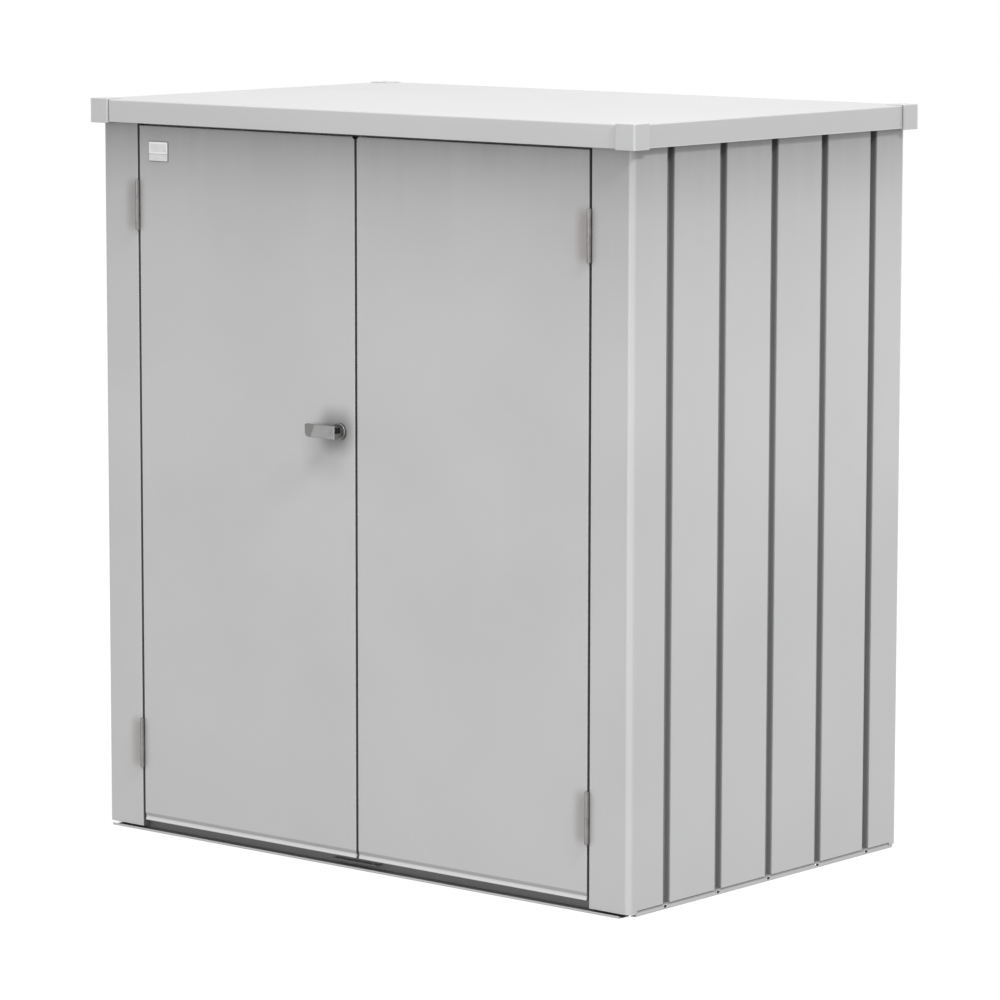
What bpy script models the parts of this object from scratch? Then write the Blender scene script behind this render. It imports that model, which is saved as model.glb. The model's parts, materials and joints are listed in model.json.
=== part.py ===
"""Outdoor storage cabinet: walls and corner posts folded from sheet steel on a base frame,
a pair of front doors, and a lid hinged at the rear on two gas struts.

Metres, +Z up. The front faces -Y. The origin is on the ground, under the middle of the box that
the cabinet and its lever fill.
"""

import math

import bmesh
import bpy
from mathutils import Matrix, Vector

# Overall size, over the lid's corner caps and from the ground to their tops
overall_width = 1.320
overall_depth = 0.847
overall_height = 1.406

# Sheet metal and clearances
sheet = 0.0008
frame_sheet = 0.0012
bend_radius = 0.0008
bend_steps = 2
bend_angle = math.radians(30)
seat_gap = 0.0003
running_gap = 0.0004
overrun = 0.010
weld_distance = 0.00001

# Lid, its corner caps, stiffeners and seal
cap_proud = 0.004
cap_rise = 0.0015
cap_drop = 0.0026
cap_leg = 0.043
cap_edge = 0.0012
lid_overhang = 0.0124
lid_skirt_height = 0.0424
lid_edge_radius = 0.003
lid_stiffener_height = 0.018
lid_stiffener_width = 0.050
lid_stiffener_flange = 0.014
lid_stiffener_end_gap = 0.020
lid_stiffener_place_share = -0.30
seal_width = 0.008
seal_inset = 0.002
seal_height = 0.0081

# Corner posts
post_face_width = 0.091
post_return = 0.020
post_corner_radius = 0.0105
post_corner_steps = 5
post_foot_height = 0.007
post_foot_wrap = 0.0236

# Grooved walls
groove_width = 0.0205
groove_depth = 0.014
groove_tuck = 0.006
side_groove_count = 5
side_front_leg = 0.1086
side_rear_leg = 0.0996
back_groove_count = 8
back_corner_leg = 0.1134
back_wide_bays = 4

# Base frame
base_height = 0.050
base_strip_height = 0.0112
base_strip_inset = 0.0015
base_ground_flange = 0.012
base_top_flange = 0.020
base_lip_proud = 0.008
base_lip_height = 0.0045

# Floor plate
floor_edge_gap = 0.0009
floor_bead_height = 0.006
floor_bead_width = 0.034
floor_bead_slope = 0.006
floor_bead_count = 4

# Shelf
shelf_level = 0.690
shelf_height = 0.025
shelf_depth = 0.420
shelf_rim = 0.012

# Top frame
top_rail_height = 0.050
top_flange_inset = 0.001
header_lip = 0.009
header_flange = 0.028
header_above_door = 0.003
header_stop_drop = 0.015

# Doors
door_gap = 0.0055
door_depth = 0.020
door_rim = 0.014
door_under_cap = 0.0019
door_foot = 0.0197
door_stop_gap = 0.0008
door_corner_relief = 0.006
crease_top = 0.0150
crease_middle = 0.0069
crease_bottom = 0.0025
crease_depth = 0.0025
door_stiffener_width = 0.060
door_stiffener_flange = 0.016
door_stiffener_height = 0.0150

# Door hinges
hinge_inset = 0.151
hinge_length = 0.093
hinge_proud = 0.0035
hinge_barrel_radius = 0.0042
hinge_pin_radius = 0.0020
hinge_pin_clearance = 0.0001
hinge_leaf_thickness = 0.0015
hinge_leaf_reach = 0.0180
hinge_cap = 0.002
barrel_sides = 16

# Lid hinge
lid_hinge_length = 1.020
lid_hinge_knuckles = 15
lid_hinge_offset = 0.0060
lid_hinge_drop = 0.0056
lid_hinge_barrel_radius = 0.0052
lid_hinge_wall_reach = 0.040
lid_hinge_lid_reach = 0.034
lid_pin_radius = 0.0026
lid_pin_head_radius = 0.0042
lid_pin_head_height = 0.0015

# Gas struts
strut_inset = 0.0286
strut_foot_inset = 0.0371
strut_foot_drop = 0.2864
strut_head_inset = 0.1412
strut_head_drop = 0.0225
strut_tube_radius = 0.010
strut_bore_radius = 0.0086
strut_tube_floor = 0.012
strut_tube_share = 0.84
strut_rod_radius = 0.004
strut_rod_share = 0.86
strut_eye_radius = 0.007
strut_eye_width = 0.010
strut_stud_radius = 0.003
strut_stud_head_radius = 0.0048
strut_stud_head_height = 0.002
strut_plate_size = 0.040
strut_plate_thickness = 0.002
strut_lid_plate_below = 0.010

# Lever handle, its spindle and the key cylinder
handle_from_edge = 0.0363
handle_level = 0.8148
rosette_radius = 0.0162
rosette_height = 0.006
rosette_bore = 0.007
lever_tail = 0.0089
lever_length = 0.0735
lever_height = 0.0245
lever_thickness = 0.009
lever_edge = 0.0015
lever_corner = 0.0065
lever_standoff = 0.0263
neck_width = 0.017
neck_socket_depth = 0.006
spindle_radius = 0.004
spindle_clearance = 0.0003
key_plug_radius = 0.0062
key_plug_clearance = 0.0001
key_plug_depth = 0.0065
key_plug_proud = 0.0003
key_slot_width = 0.0012
key_slot_height = 0.0075
key_slot_depth = 0.003
plug_sides = 24

# Rack-and-pinion lock and its rods
gear_module = 0.0015
gear_teeth = 12
gear_pressure_angle = math.radians(20)
gear_backlash = 0.0003
pinion_thickness = 0.005
pinion_addendum_share = 0.93
pinion_dedendum_share = 1.15
rack_addendum_share = 0.66
rack_dedendum_share = 1.25
rack_teeth_ahead = 2
rack_teeth_behind = 5
rod_width = 0.0055
rod_thickness = 0.004
rod_place = 0.0052
rod_end_gap = 0.0005
lock_case_half_width = 0.0182
lock_case_half_height = 0.048
lock_case_depth = 0.0145

# Slide bolts on the right door
bolt_from_edge = 0.026
bolt_radius = 0.004
bolt_length = 0.120
bolt_place = 0.0085
bolt_knob_radius = 0.003
bolt_knob_length = 0.013
bolt_travel = 0.016
bolt_housing_length = 0.070
bolt_housing_inset = 0.030
bolt_housing_flange = 0.008
keeper_end = 0.015
keeper_level = 0.0116
keeper_leg = 0.0068
keeper_front_gap = 0.004
keeper_clearance = 0.0012

# Bare plate on the left door
badge_width = 0.048
badge_height = 0.0355
badge_thickness = 0.0012
badge_edge = 0.0004
badge_from_hinge = 0.0268
badge_below_top = 0.0301

# Colour, roughness and metallic value of each finish
finishes = {
    "silver_paint": ((0.50, 0.50, 0.50), 0.48, 0.35),
    "zinc_steel": ((0.45, 0.46, 0.47), 0.50, 0.70),
    "hinge_steel": ((0.52, 0.51, 0.49), 0.30, 1.00),
    "lever_nickel": ((0.46, 0.45, 0.43), 0.35, 0.90),
    "badge_metal": ((0.60, 0.60, 0.60), 0.35, 1.00),
    "lock_brass": ((0.60, 0.48, 0.25), 0.35, 1.00),
    "cap_plastic": ((0.50, 0.50, 0.50), 0.50, 0.00),
    "seal_rubber": ((0.02, 0.02, 0.02), 0.80, 0.00),
    "black_steel": ((0.03, 0.03, 0.03), 0.40, 0.60),
}

# Planes and levels that the pieces share
lid_half_width = overall_width / 2 - cap_proud
lid_half_depth = overall_depth / 2 - cap_proud
half_width = lid_half_width - lid_overhang
half_depth = lid_half_depth - lid_overhang
front = -half_depth
rear = half_depth
lid_top = overall_height - cap_rise
lid_bottom = lid_top - lid_skirt_height
lid_under = lid_top - sheet
cap_bottom = lid_bottom - cap_drop
frame_top = lid_under - seal_height - 2 * seat_gap
wall_top = frame_top - frame_sheet - seat_gap
wall_foot = base_strip_height + seat_gap
frame_inset = groove_depth + sheet + seat_gap
web_inner = half_width - frame_inset - frame_sheet
stop_plane = front + door_depth + door_stop_gap
side_rail_front = stop_plane + frame_sheet + seat_gap
hinge_line = half_width - post_face_width - door_gap / 2
hinge_axis_y = front - hinge_proud
door_top = cap_bottom - door_under_cap
door_inner_face = front + sheet + seat_gap
free_edge = door_gap / 2
lid_axis_y = rear + lid_hinge_offset
lid_axis_z = lid_bottom - lid_hinge_drop
lever_reach = lever_standoff + key_plug_proud - (overall_depth / 2 - half_depth)

cabinet = None
cutters = None


def clear_scene():
    for old in list(bpy.data.objects):
        bpy.data.objects.remove(old)


def make_collections():
    global cabinet, cutters
    cabinet = bpy.data.collections.new("outdoor_storage_cabinet")
    cutters = bpy.data.collections.new("cutters")
    bpy.context.scene.collection.children.link(cabinet)
    bpy.context.scene.collection.children.link(cutters)


def paint(piece, finish):
    """Give a piece its own material in one of the finishes."""
    colour, roughness, metallic = finishes[finish]
    material = bpy.data.materials.new(f"{piece.name}_{finish}")
    material.use_nodes = True
    shader = material.node_tree.nodes["Principled BSDF"]
    shader.inputs["Base Color"].default_value = (*colour, 1)
    shader.inputs["Roughness"].default_value = roughness
    shader.inputs["Metallic"].default_value = metallic
    piece.data.materials.append(material)


def object_from(name, bm, collection):
    mesh = bpy.data.meshes.new(name)
    bm.to_mesh(mesh)
    bm.free()
    piece = bpy.data.objects.new(name, mesh)
    collection.objects.link(piece)
    return piece


def piece_from(name, bm, finish):
    piece = object_from(name, bm, cabinet)
    paint(piece, finish)
    return piece


def combine(piece, bm, label, operation):
    """Cut bm out of a piece, or join bm to it, with a Boolean modifier."""
    tool = object_from(f"{piece.name}_{label}", bm, cutters)
    tool.hide_render = True
    tool.display_type = "WIRE"
    boolean = piece.modifiers.new(label, "BOOLEAN")
    boolean.operation = operation
    boolean.solver = "EXACT"
    boolean.object = tool
    return piece


def cut(piece, bm, label):
    return combine(piece, bm, label, "DIFFERENCE")


def join(piece, bm, label):
    return combine(piece, bm, label, "UNION")


def round_edges(piece, width, segments):
    bevel = piece.modifiers.new("edges", "BEVEL")
    bevel.width = width
    bevel.segments = segments
    bevel.limit_method = "ANGLE"
    bevel.angle_limit = bend_angle


def thicken(piece, thickness):
    wall = piece.modifiers.new("wall", "SOLIDIFY")
    wall.thickness = thickness
    wall.offset = -1
    wall.use_even_offset = True


def box(bm, low, high):
    """Add a box between two corners, given in any order."""
    low, high = Vector(low), Vector(high)
    size = Vector(abs(b - a) for a, b in zip(low, high))
    place = Matrix.Translation((low + high) / 2) @ Matrix.Diagonal((*size, 1))
    bmesh.ops.create_cube(bm, size=1, matrix=place)


def rod_between(bm, radius, start, end, sides):
    start, end = Vector(start), Vector(end)
    run = end - start
    place = Matrix.Translation((start + end) / 2) @ run.to_track_quat("Z", "Y").to_matrix().to_4x4()
    bmesh.ops.create_cone(
        bm, cap_ends=True, segments=sides, radius1=radius, radius2=radius, depth=run.length, matrix=place
    )


def turned(bm, profile, base, direction, sides):
    """Add a turned body: profile points are (radius, distance from base along direction)."""
    place = Matrix.Translation(base) @ Vector(direction).to_track_quat("Z", "Y").to_matrix().to_4x4()
    chain = [bm.verts.new(place @ Vector((radius, 0, height))) for radius, height in profile]
    edges = [bm.edges.new(pair) for pair in zip(chain, chain[1:])]
    bmesh.ops.spin(
        bm, geom=chain + edges, cent=base, axis=place.to_3x3() @ Vector((0, 0, 1)),
        angle=2 * math.pi, steps=sides, use_merge=True,
    )
    seam = {v for v in bm.verts if v.is_valid and v.link_faces}
    bmesh.ops.remove_doubles(bm, verts=list(seam), dist=weld_distance)
    bmesh.ops.recalc_face_normals(bm, faces=bm.faces[:])


def on_axis(across, first, second, along):
    """A point from its distance along an axis and its two other coordinates, in X, Y, Z order."""
    return {"X": (along, first, second), "Y": (first, along, second), "Z": (first, second, along)}[across]


def bent(path, thickness):
    """The path with its corners rounded, so that each bend has the bend radius on its inside."""
    points = [path[0]]
    for before, corner, after in zip(path, path[1:], path[2:]):
        corner = Vector(corner)
        arriving = (corner - Vector(before)).normalized()
        leaving = (Vector(after) - corner).normalized()
        turn = math.atan2(arriving.cross(leaving), arriving.dot(leaving))
        if abs(turn) < bend_angle:
            points.append(tuple(corner))
            continue
        radius = bend_radius + (thickness if turn < 0 else 0)
        start = corner - arriving * radius * math.tan(abs(turn) / 2)
        centre = start + Vector((-arriving.y, arriving.x)) * math.copysign(radius, turn)
        for step in range(bend_steps + 1):
            points.append(tuple(centre + Matrix.Rotation(turn * step / bend_steps, 2) @ (start - centre)))
    return points + [path[-1]]


def folded(name, path, across, start, end, thickness, finish):
    """A folded sheet: the path is its outer skin, and the wall lies to the right of the path.

    The path's points are the two coordinates other than the axis that it is drawn across.
    """
    path = bent(path, thickness)
    bm = bmesh.new()
    chain = [bm.verts.new(on_axis(across, a, b, start)) for a, b in path]
    edges = [bm.edges.new(pair) for pair in zip(chain, chain[1:])]
    swept = bmesh.ops.extrude_edge_only(bm, edges=edges)
    moved = [item for item in swept["geom"] if isinstance(item, bmesh.types.BMVert)]
    bmesh.ops.translate(bm, verts=moved, vec=on_axis(across, 0, 0, end - start))
    bm.normal_update()
    (a0, b0), (a1, b1) = path[0], path[1]
    left = Vector(on_axis(across, b0 - b1, a1 - a0, 0))
    bm.faces.ensure_lookup_table()
    if edges[0].link_faces[0].normal.dot(left) < 0:
        bmesh.ops.reverse_faces(bm, faces=bm.faces[:])
    piece = piece_from(name, bm, finish)
    thicken(piece, thickness)
    return piece


def mirrored(path):
    """The same folded sheet for the other side of the cabinet."""
    return [(-a, b) for a, b in reversed(path)]


def tray(name, low, high, open_axis, open_sign, rim, thickness, finish, radius, creases=()):
    """A folded tray: a box with one side open but for a rim, then given its wall inwards."""
    bm = bmesh.new()
    box(bm, low, high)
    bm.normal_update()
    way = Vector(on_axis(open_axis, 0, 0, open_sign))
    opening = max(bm.faces, key=lambda face: face.normal.dot(way))
    if rim:
        bmesh.ops.inset_individual(bm, faces=[opening], thickness=rim)
    bmesh.ops.delete(bm, geom=[opening], context="FACES_ONLY")
    for level, inwards in creases:
        bmesh.ops.bisect_plane(
            bm, geom=bm.verts[:] + bm.edges[:] + bm.faces[:], plane_co=(0, 0, level), plane_no=(0, 0, 1)
        )
        for vert in bm.verts:
            on_face = abs(vert.co.y - low[1]) < weld_distance
            if on_face and abs(vert.co.z - level) < weld_distance:
                vert.co.y += inwards
    piece = piece_from(name, bm, finish)
    round_edges(piece, radius, bend_steps)
    thicken(piece, thickness)
    return piece


def flat_outline(name, outline, low, high, finish):
    """A plate cut to an outline in X and Z, between two depths: a filled loop, extruded."""
    bm = bmesh.new()
    ring = [bm.verts.new((x, low, z)) for x, z in outline]
    edges = [bm.edges.new(pair) for pair in zip(ring, ring[1:] + ring[:1])]
    filled = bmesh.ops.contextual_create(bm, geom=edges)
    raised = bmesh.ops.extrude_face_region(bm, geom=filled["faces"])
    moved = [item for item in raised["geom"] if isinstance(item, bmesh.types.BMVert)]
    bmesh.ops.translate(bm, verts=moved, vec=(0, high - low, 0))
    bmesh.ops.recalc_face_normals(bm, faces=bm.faces[:])
    return piece_from(name, bm, finish)


def joint_axis(name, place):
    """An empty on a joint's axis, which carries the pieces that move about it."""
    empty = bpy.data.objects.new(name, None)
    empty.location = place
    cabinet.objects.link(empty)
    return empty


def carry(carrier, pieces):
    """Parent the pieces to their joint's empty and leave them where they stand."""
    bpy.context.view_layer.update()
    for piece in pieces:
        piece.parent = carrier
        piece.matrix_parent_inverse = carrier.matrix_world.inverted()


# Grooved walls and corner posts

def spaced(count, first, last):
    step = (last - first) / (count - 1)
    return [first + step * number for number in range(count)]


def side_grooves():
    """Groove centres along a side wall, front to rear."""
    return spaced(side_groove_count, front + side_front_leg, rear - side_rear_leg)


def back_grooves():
    """Groove centres along the back wall, left to right."""
    edge = half_width - back_corner_leg
    return spaced(back_groove_count, -edge, edge)


def wall_run(centres, lip_start):
    """A wall's outer skin as (distance along, depth inwards), with a groove at each centre.

    It ends on the last groove's floor. It starts on the first one's floor, or with a lip
    that seats on the next panel's floor.
    """
    half = groove_width / 2
    run = []
    for number, centre in enumerate(centres):
        near, far = centre - half, centre + half
        if number == 0 and lip_start:
            run += [(far, groove_depth - seat_gap), (far, 0)]
        elif number == 0:
            run += [(near - groove_tuck, groove_depth), (far, groove_depth), (far, 0)]
        elif number == len(centres) - 1:
            run += [(near, 0), (near, groove_depth), (far + groove_tuck, groove_depth)]
        else:
            run += [(near, 0), (near, groove_depth), (far, groove_depth), (far, 0)]
    return run


def corner_arc(centre_x, centre_y, start_angle):
    """A quarter turn of the post's corner, clockwise seen from above."""
    points = []
    for step in range(post_corner_steps + 1):
        angle = start_angle - math.pi / 2 * step / post_corner_steps
        points.append((
            centre_x + post_corner_radius * math.cos(angle),
            centre_y + post_corner_radius * math.sin(angle),
        ))
    return points


def foot_notch(x_low, x_high, y_low, y_high):
    bm = bmesh.new()
    box(bm, (x_low, y_low, -overrun), (x_high, y_high, wall_foot))
    return bm


def front_post(side, name):
    groove_edge = side_grooves()[0] - groove_width / 2
    lip = half_width - groove_depth + seat_gap
    door_side = hinge_line + door_gap / 2
    arc = corner_arc(half_width - post_corner_radius, front + post_corner_radius, 0)
    path = [(lip, groove_edge), (half_width, groove_edge)] + arc
    path += [(door_side, front), (door_side, front + post_return)]
    if side < 0:
        path = mirrored(path)
    post = folded(name, path, "Z", post_foot_height, wall_top, sheet, "silver_paint")
    outside = side * (half_width + overrun)
    inside = side * (lip - overrun)
    wrap_end = front + post_foot_wrap
    return cut(post, foot_notch(inside, outside, wrap_end, groove_edge + overrun), "foot_notch")


def rear_post(side, name):
    groove_edge = side_grooves()[-1] + groove_width / 2
    back_edge = back_grooves()[-1] + groove_width / 2
    lip = groove_depth - seat_gap
    arc = corner_arc(half_width - post_corner_radius, rear - post_corner_radius, math.pi / 2)
    path = [(back_edge, rear - lip), (back_edge, rear)] + arc
    path += [(half_width, groove_edge), (half_width - lip, groove_edge)]
    if side < 0:
        path = mirrored(path)
    post = folded(name, path, "Z", post_foot_height, wall_top, sheet, "silver_paint")
    wrap = half_width - post_foot_wrap
    back_notch = foot_notch(side * (back_edge - overrun), side * wrap, rear - lip - overrun, rear + overrun)
    cut(post, back_notch, "back_notch")
    side_notch = foot_notch(
        side * (half_width - lip - overrun), side * (half_width + overrun),
        groove_edge - overrun, rear - post_foot_wrap,
    )
    return cut(post, side_notch, "side_notch")


def side_panel(side, name):
    centres = [-place for place in reversed(side_grooves())]
    path = [(half_width - depth, -along) for along, depth in wall_run(centres, False)]
    if side < 0:
        path = mirrored(path)
    return folded(name, path, "Z", wall_foot, wall_top, sheet, "silver_paint")


def back_panels():
    centres = back_grooves()
    wide = wall_run(centres[:back_wide_bays + 1], False)
    narrow = wall_run(centres[back_wide_bays:], True)
    for name, run in (("back_panel_wide", wide), ("back_panel_narrow", narrow)):
        path = [(along, rear - depth) for along, depth in run]
        folded(name, path, "Z", wall_foot, wall_top, sheet, "silver_paint")


# Base frame and floor

def stepped_rail(depth, height, flange):
    """A base rail's section from its top flange to its ground flange, as (distance out, height)."""
    outer = depth - base_strip_inset
    inner = depth - frame_inset
    return [
        (inner - flange, height),
        (inner, height),
        (inner, base_strip_height),
        (outer, base_strip_height),
        (outer, 0),
        (outer - base_ground_flange, 0),
    ]


def base_rails():
    rail_rear = rear - post_corner_radius - seat_gap
    section = stepped_rail(half_width, base_height, base_top_flange)
    for path, name in ((mirrored(section), "base_rail_left"), (section, "base_rail_right")):
        folded(name, path, "Y", side_rail_front, rail_rear, frame_sheet, "silver_paint")
    low_height = base_height - frame_sheet - seat_gap
    reach = web_inner - seat_gap
    rear_section = stepped_rail(half_depth, low_height, base_top_flange)
    folded("base_rail_rear", rear_section, "X", -reach, reach, frame_sheet, "silver_paint")
    front_rail(low_height, reach)


def front_rail(height, reach):
    """The front base rail: a riser under the doors, with an upturned lip before the posts' feet."""
    lip = front - base_lip_proud
    riser_back = stop_plane + frame_sheet
    under = height - frame_sheet
    path = [
        (riser_back + base_top_flange, under),
        (riser_back, under),
        (riser_back, 0),
        (lip, 0),
        (lip, base_lip_height),
    ]
    folded("base_rail_front", path, "X", -reach, reach, frame_sheet, "silver_paint")


def floor_plate():
    """The floor lies on the side rails, with raised beads across it."""
    level = base_height + seat_gap + sheet
    low = side_rail_front
    high = rear - frame_inset - floor_edge_gap
    path = [(low, level)]
    for number in range(floor_bead_count):
        middle = low + (high - low) * (number + 1) / (floor_bead_count + 1)
        half = floor_bead_width / 2
        path += [
            (middle - half, level),
            (middle - half + floor_bead_slope, level + floor_bead_height),
            (middle + half - floor_bead_slope, level + floor_bead_height),
            (middle + half, level),
        ]
    path.append((high, level))
    reach = half_width - frame_inset - floor_edge_gap
    folded("floor_plate", path, "X", -reach, reach, sheet, "zinc_steel")


def shelf():
    """A tray across the cabinet, between the grooves' floors of its side walls and its back."""
    y_high = rear - groove_depth - sheet - seat_gap
    reach = half_width - groove_depth - sheet - seat_gap
    tray("shelf", (-reach, y_high - shelf_depth, shelf_level), (reach, y_high, shelf_level + shelf_height),
         "Z", -1, shelf_rim, sheet, "zinc_steel", bend_radius + sheet)


# Top frame

def top_rail(depth):
    """A top rail's section from its outward flange down its web, as (distance out, height)."""
    under = frame_top - frame_sheet
    inner = depth - frame_inset
    return [(depth - top_flange_inset, under), (inner, under), (inner, frame_top - top_rail_height)]


def top_rails():
    ends = half_depth - post_corner_radius
    section = top_rail(half_width)
    for path, name in ((mirrored(section), "top_rail_left"), (section, "top_rail_right")):
        folded(name, path, "Y", -ends, ends, frame_sheet, "zinc_steel")
    reach = web_inner - seat_gap
    folded("top_rail_rear", top_rail(half_depth), "X", -reach, reach, frame_sheet, "zinc_steel")


def header():
    """The front header stands over the doors and stops their top edges."""
    under = door_top + header_above_door
    path = [
        (stop_plane, under - header_stop_drop),
        (stop_plane, under),
        (front, under),
        (front, frame_top),
        (front + header_flange, frame_top),
        (front + header_flange, frame_top - header_lip),
    ]
    end = hinge_line + door_gap / 2 - seat_gap
    rail = folded("header_front", path, "X", -end, end, frame_sheet, "silver_paint")
    holes = bmesh.new()
    rod_x, rod_y = lock_rod_middle(1)
    clear = keeper_clearance
    box(holes,
        (rod_x - rod_width / 2 - clear, rod_y - rod_thickness / 2 - clear, under - overrun / 2),
        (rod_x + rod_width / 2 + clear, rod_y + rod_thickness / 2 + clear, under + overrun))
    rod_between(holes, bolt_radius + clear, (bolt_x(), bolt_y(), under - overrun / 2),
                (bolt_x(), bolt_y(), under + overrun), barrel_sides)
    cut(rail, holes, "bolt_holes")


def lid_seal():
    bm = bmesh.new()
    low = frame_top + seat_gap
    outer_x, outer_y = half_width - seal_inset, half_depth - seal_inset
    box(bm, (-outer_x, -outer_y, low), (outer_x, outer_y, low + seal_height))
    seal = piece_from("lid_seal", bm, "seal_rubber")
    hollow = bmesh.new()
    inner_x, inner_y = outer_x - seal_width, outer_y - seal_width
    box(hollow, (-inner_x, -inner_y, low - overrun), (inner_x, inner_y, low + seal_height + overrun))
    cut(seal, hollow, "hollow")


# Hinges

def local_box(bm, centre, frame, along, reach, aside):
    """A box given by its spans along a hinge's axis, out from it and aside of it."""
    ways = [Vector(way) for way in frame]
    low, high = (
        Vector(centre) + sum((way * span[end] for way, span in zip(ways, (along, reach, aside))), Vector())
        for end in (0, 1)
    )
    box(bm, low, high)


def hinge_leaf(name, centre, frame, seat, radius, length, plate_reach, knuckles):
    """A hinge's leaf: a plate on its seat, and the knuckles that its tabs carry.

    The frame is the ways along the axis, out along the plate, and aside towards the seat.
    """
    along = Vector(frame[0])
    flat = (seat - seat_gap - hinge_leaf_thickness, seat - seat_gap)
    start = radius + seat_gap
    plate, tabs, tubes = bmesh.new(), bmesh.new(), bmesh.new()
    local_box(plate, centre, frame, (-length / 2, length / 2), (start, plate_reach), flat)
    for span in knuckles:
        local_box(tabs, centre, frame, span, (0, start + hinge_leaf_thickness), flat)
        low, high = (Vector(centre) + along * distance for distance in span)
        rod_between(tubes, radius, low, high, barrel_sides)
    leaf = piece_from(name, plate, "hinge_steel")
    join(leaf, tabs, "tabs")
    return join(leaf, tubes, "knuckles")


def bore_along(leaf, centre, along, radius, span):
    bore = bmesh.new()
    low, high = (Vector(centre) + Vector(along) * distance for distance in span)
    rod_between(bore, radius, low, high, barrel_sides)
    return cut(leaf, bore, "bore")


def door_hinges(side):
    """A door's two lift-off hinges: the post leaf's lower knuckle holds the pin.

    Returns the door's own leaves, which the door carries.
    """
    door_leaves = []
    side_name = "left" if side < 0 else "right"
    half = hinge_length / 2
    reach = hinge_proud + hinge_leaf_reach
    for level, level_name in ((door_top - hinge_inset, "upper"), (door_foot + hinge_inset, "lower")):
        centre = (side * hinge_line, hinge_axis_y, level)
        post_frame = ((0, 0, 1), (0, 1, 0), (side, 0, 0))
        door_frame = ((0, 0, 1), (0, 1, 0), (-side, 0, 0))
        post_leaf = hinge_leaf(f"hinge_post_leaf_{side_name}_{level_name}", centre, post_frame,
                               door_gap / 2, hinge_barrel_radius, hinge_length, reach,
                               [(-half, -running_gap / 2)])
        pin = bmesh.new()
        rod_between(pin, hinge_pin_radius, (centre[0], centre[1], level - half / 2),
                    (centre[0], centre[1], level + half - hinge_cap - running_gap), barrel_sides)
        join(post_leaf, pin, "pin")
        door_leaf = hinge_leaf(f"hinge_door_leaf_{side_name}_{level_name}", centre, door_frame,
                               door_gap / 2, hinge_barrel_radius, hinge_length, reach,
                               [(running_gap / 2, half)])
        bore_along(door_leaf, centre, (0, 0, 1), hinge_pin_radius + hinge_pin_clearance,
                   (-half, half - hinge_cap))
        door_leaves.append(door_leaf)
    return door_leaves


def lid_hinge():
    """The lid's continuous hinge and its pin. Returns the leaf that the lid carries."""
    centre = (0, lid_axis_y, lid_axis_z)
    pitch = lid_hinge_length / lid_hinge_knuckles
    spans = []
    for number in range(lid_hinge_knuckles):
        start = number * pitch - lid_hinge_length / 2
        spans.append((start + running_gap / 2, start + pitch - running_gap / 2))
    bore = lid_pin_radius + hinge_pin_clearance
    through = (-lid_hinge_length, lid_hinge_length)
    wall_leaf = hinge_leaf("lid_hinge_wall_leaf", centre, ((1, 0, 0), (0, 0, -1), (0, -1, 0)),
                           lid_hinge_offset, lid_hinge_barrel_radius, lid_hinge_length,
                           lid_hinge_wall_reach, spans[::2])
    bore_along(wall_leaf, centre, (1, 0, 0), bore, through)
    skirt_way = lid_overhang - sheet - lid_hinge_offset
    lid_leaf = hinge_leaf("lid_hinge_lid_leaf", centre, ((1, 0, 0), (0, 0, 1), (0, 1, 0)),
                          skirt_way, lid_hinge_barrel_radius, lid_hinge_length,
                          lid_hinge_lid_reach, spans[1::2])
    bore_along(lid_leaf, centre, (1, 0, 0), bore, through)
    half = lid_hinge_length / 2 + seat_gap
    profile = [
        (0, -half - lid_pin_head_height),
        (lid_pin_head_radius, -half - lid_pin_head_height),
        (lid_pin_head_radius, -half),
        (lid_pin_radius, -half),
        (lid_pin_radius, half),
        (lid_pin_head_radius, half),
        (lid_pin_head_radius, half + lid_pin_head_height),
        (0, half + lid_pin_head_height),
    ]
    pin = bmesh.new()
    turned(pin, profile, centre, (1, 0, 0), barrel_sides)
    piece_from("lid_hinge_pin", pin, "hinge_steel")
    return lid_leaf


# Lid

def lid_panel():
    return tray("lid_panel", (-lid_half_width, -lid_half_depth, lid_bottom),
                (lid_half_width, lid_half_depth, lid_top), "Z", -1, 0, sheet, "silver_paint",
                lid_edge_radius)


def lid_cap(x_side, y_side, name):
    """A corner cap: a block round the lid's corner, hollowed for the lid and for the body below."""
    outer_x, outer_y = overall_width / 2, overall_depth / 2
    bm = bmesh.new()
    box(bm,
        (x_side * outer_x, y_side * outer_y, cap_bottom),
        (x_side * (outer_x - cap_leg), y_side * (outer_y - cap_leg), overall_height))
    cap = piece_from(name, bm, "cap_plastic")
    round_edges(cap, cap_edge, bend_steps)
    lid_room = bmesh.new()
    inner_x, inner_y = outer_x - cap_leg - overrun, outer_y - cap_leg - overrun
    box(lid_room,
        (x_side * (lid_half_width + seat_gap), y_side * (lid_half_depth + seat_gap), lid_bottom - seat_gap),
        (x_side * inner_x, y_side * inner_y, lid_top + seat_gap))
    cut(cap, lid_room, "lid_room")
    clear = lid_overhang - cap_proud
    body_room = bmesh.new()
    box(body_room,
        (x_side * (half_width + clear), y_side * (half_depth + clear), cap_bottom - overrun),
        (x_side * inner_x, y_side * inner_y, lid_bottom))
    cut(cap, body_room, "body_room")
    return cap


def lid_hat(name, middle, reach):
    """A hat section under the lid, side to side."""
    base = lid_under - seat_gap
    half = lid_stiffener_width / 2
    low = base - lid_stiffener_height
    path = [
        (middle - half - lid_stiffener_flange, base),
        (middle - half, base),
        (middle - half, low),
        (middle + half, low),
        (middle + half, base),
        (middle + half + lid_stiffener_flange, base),
    ]
    return folded(name, path, "X", -reach, reach, frame_sheet, "zinc_steel")


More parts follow.
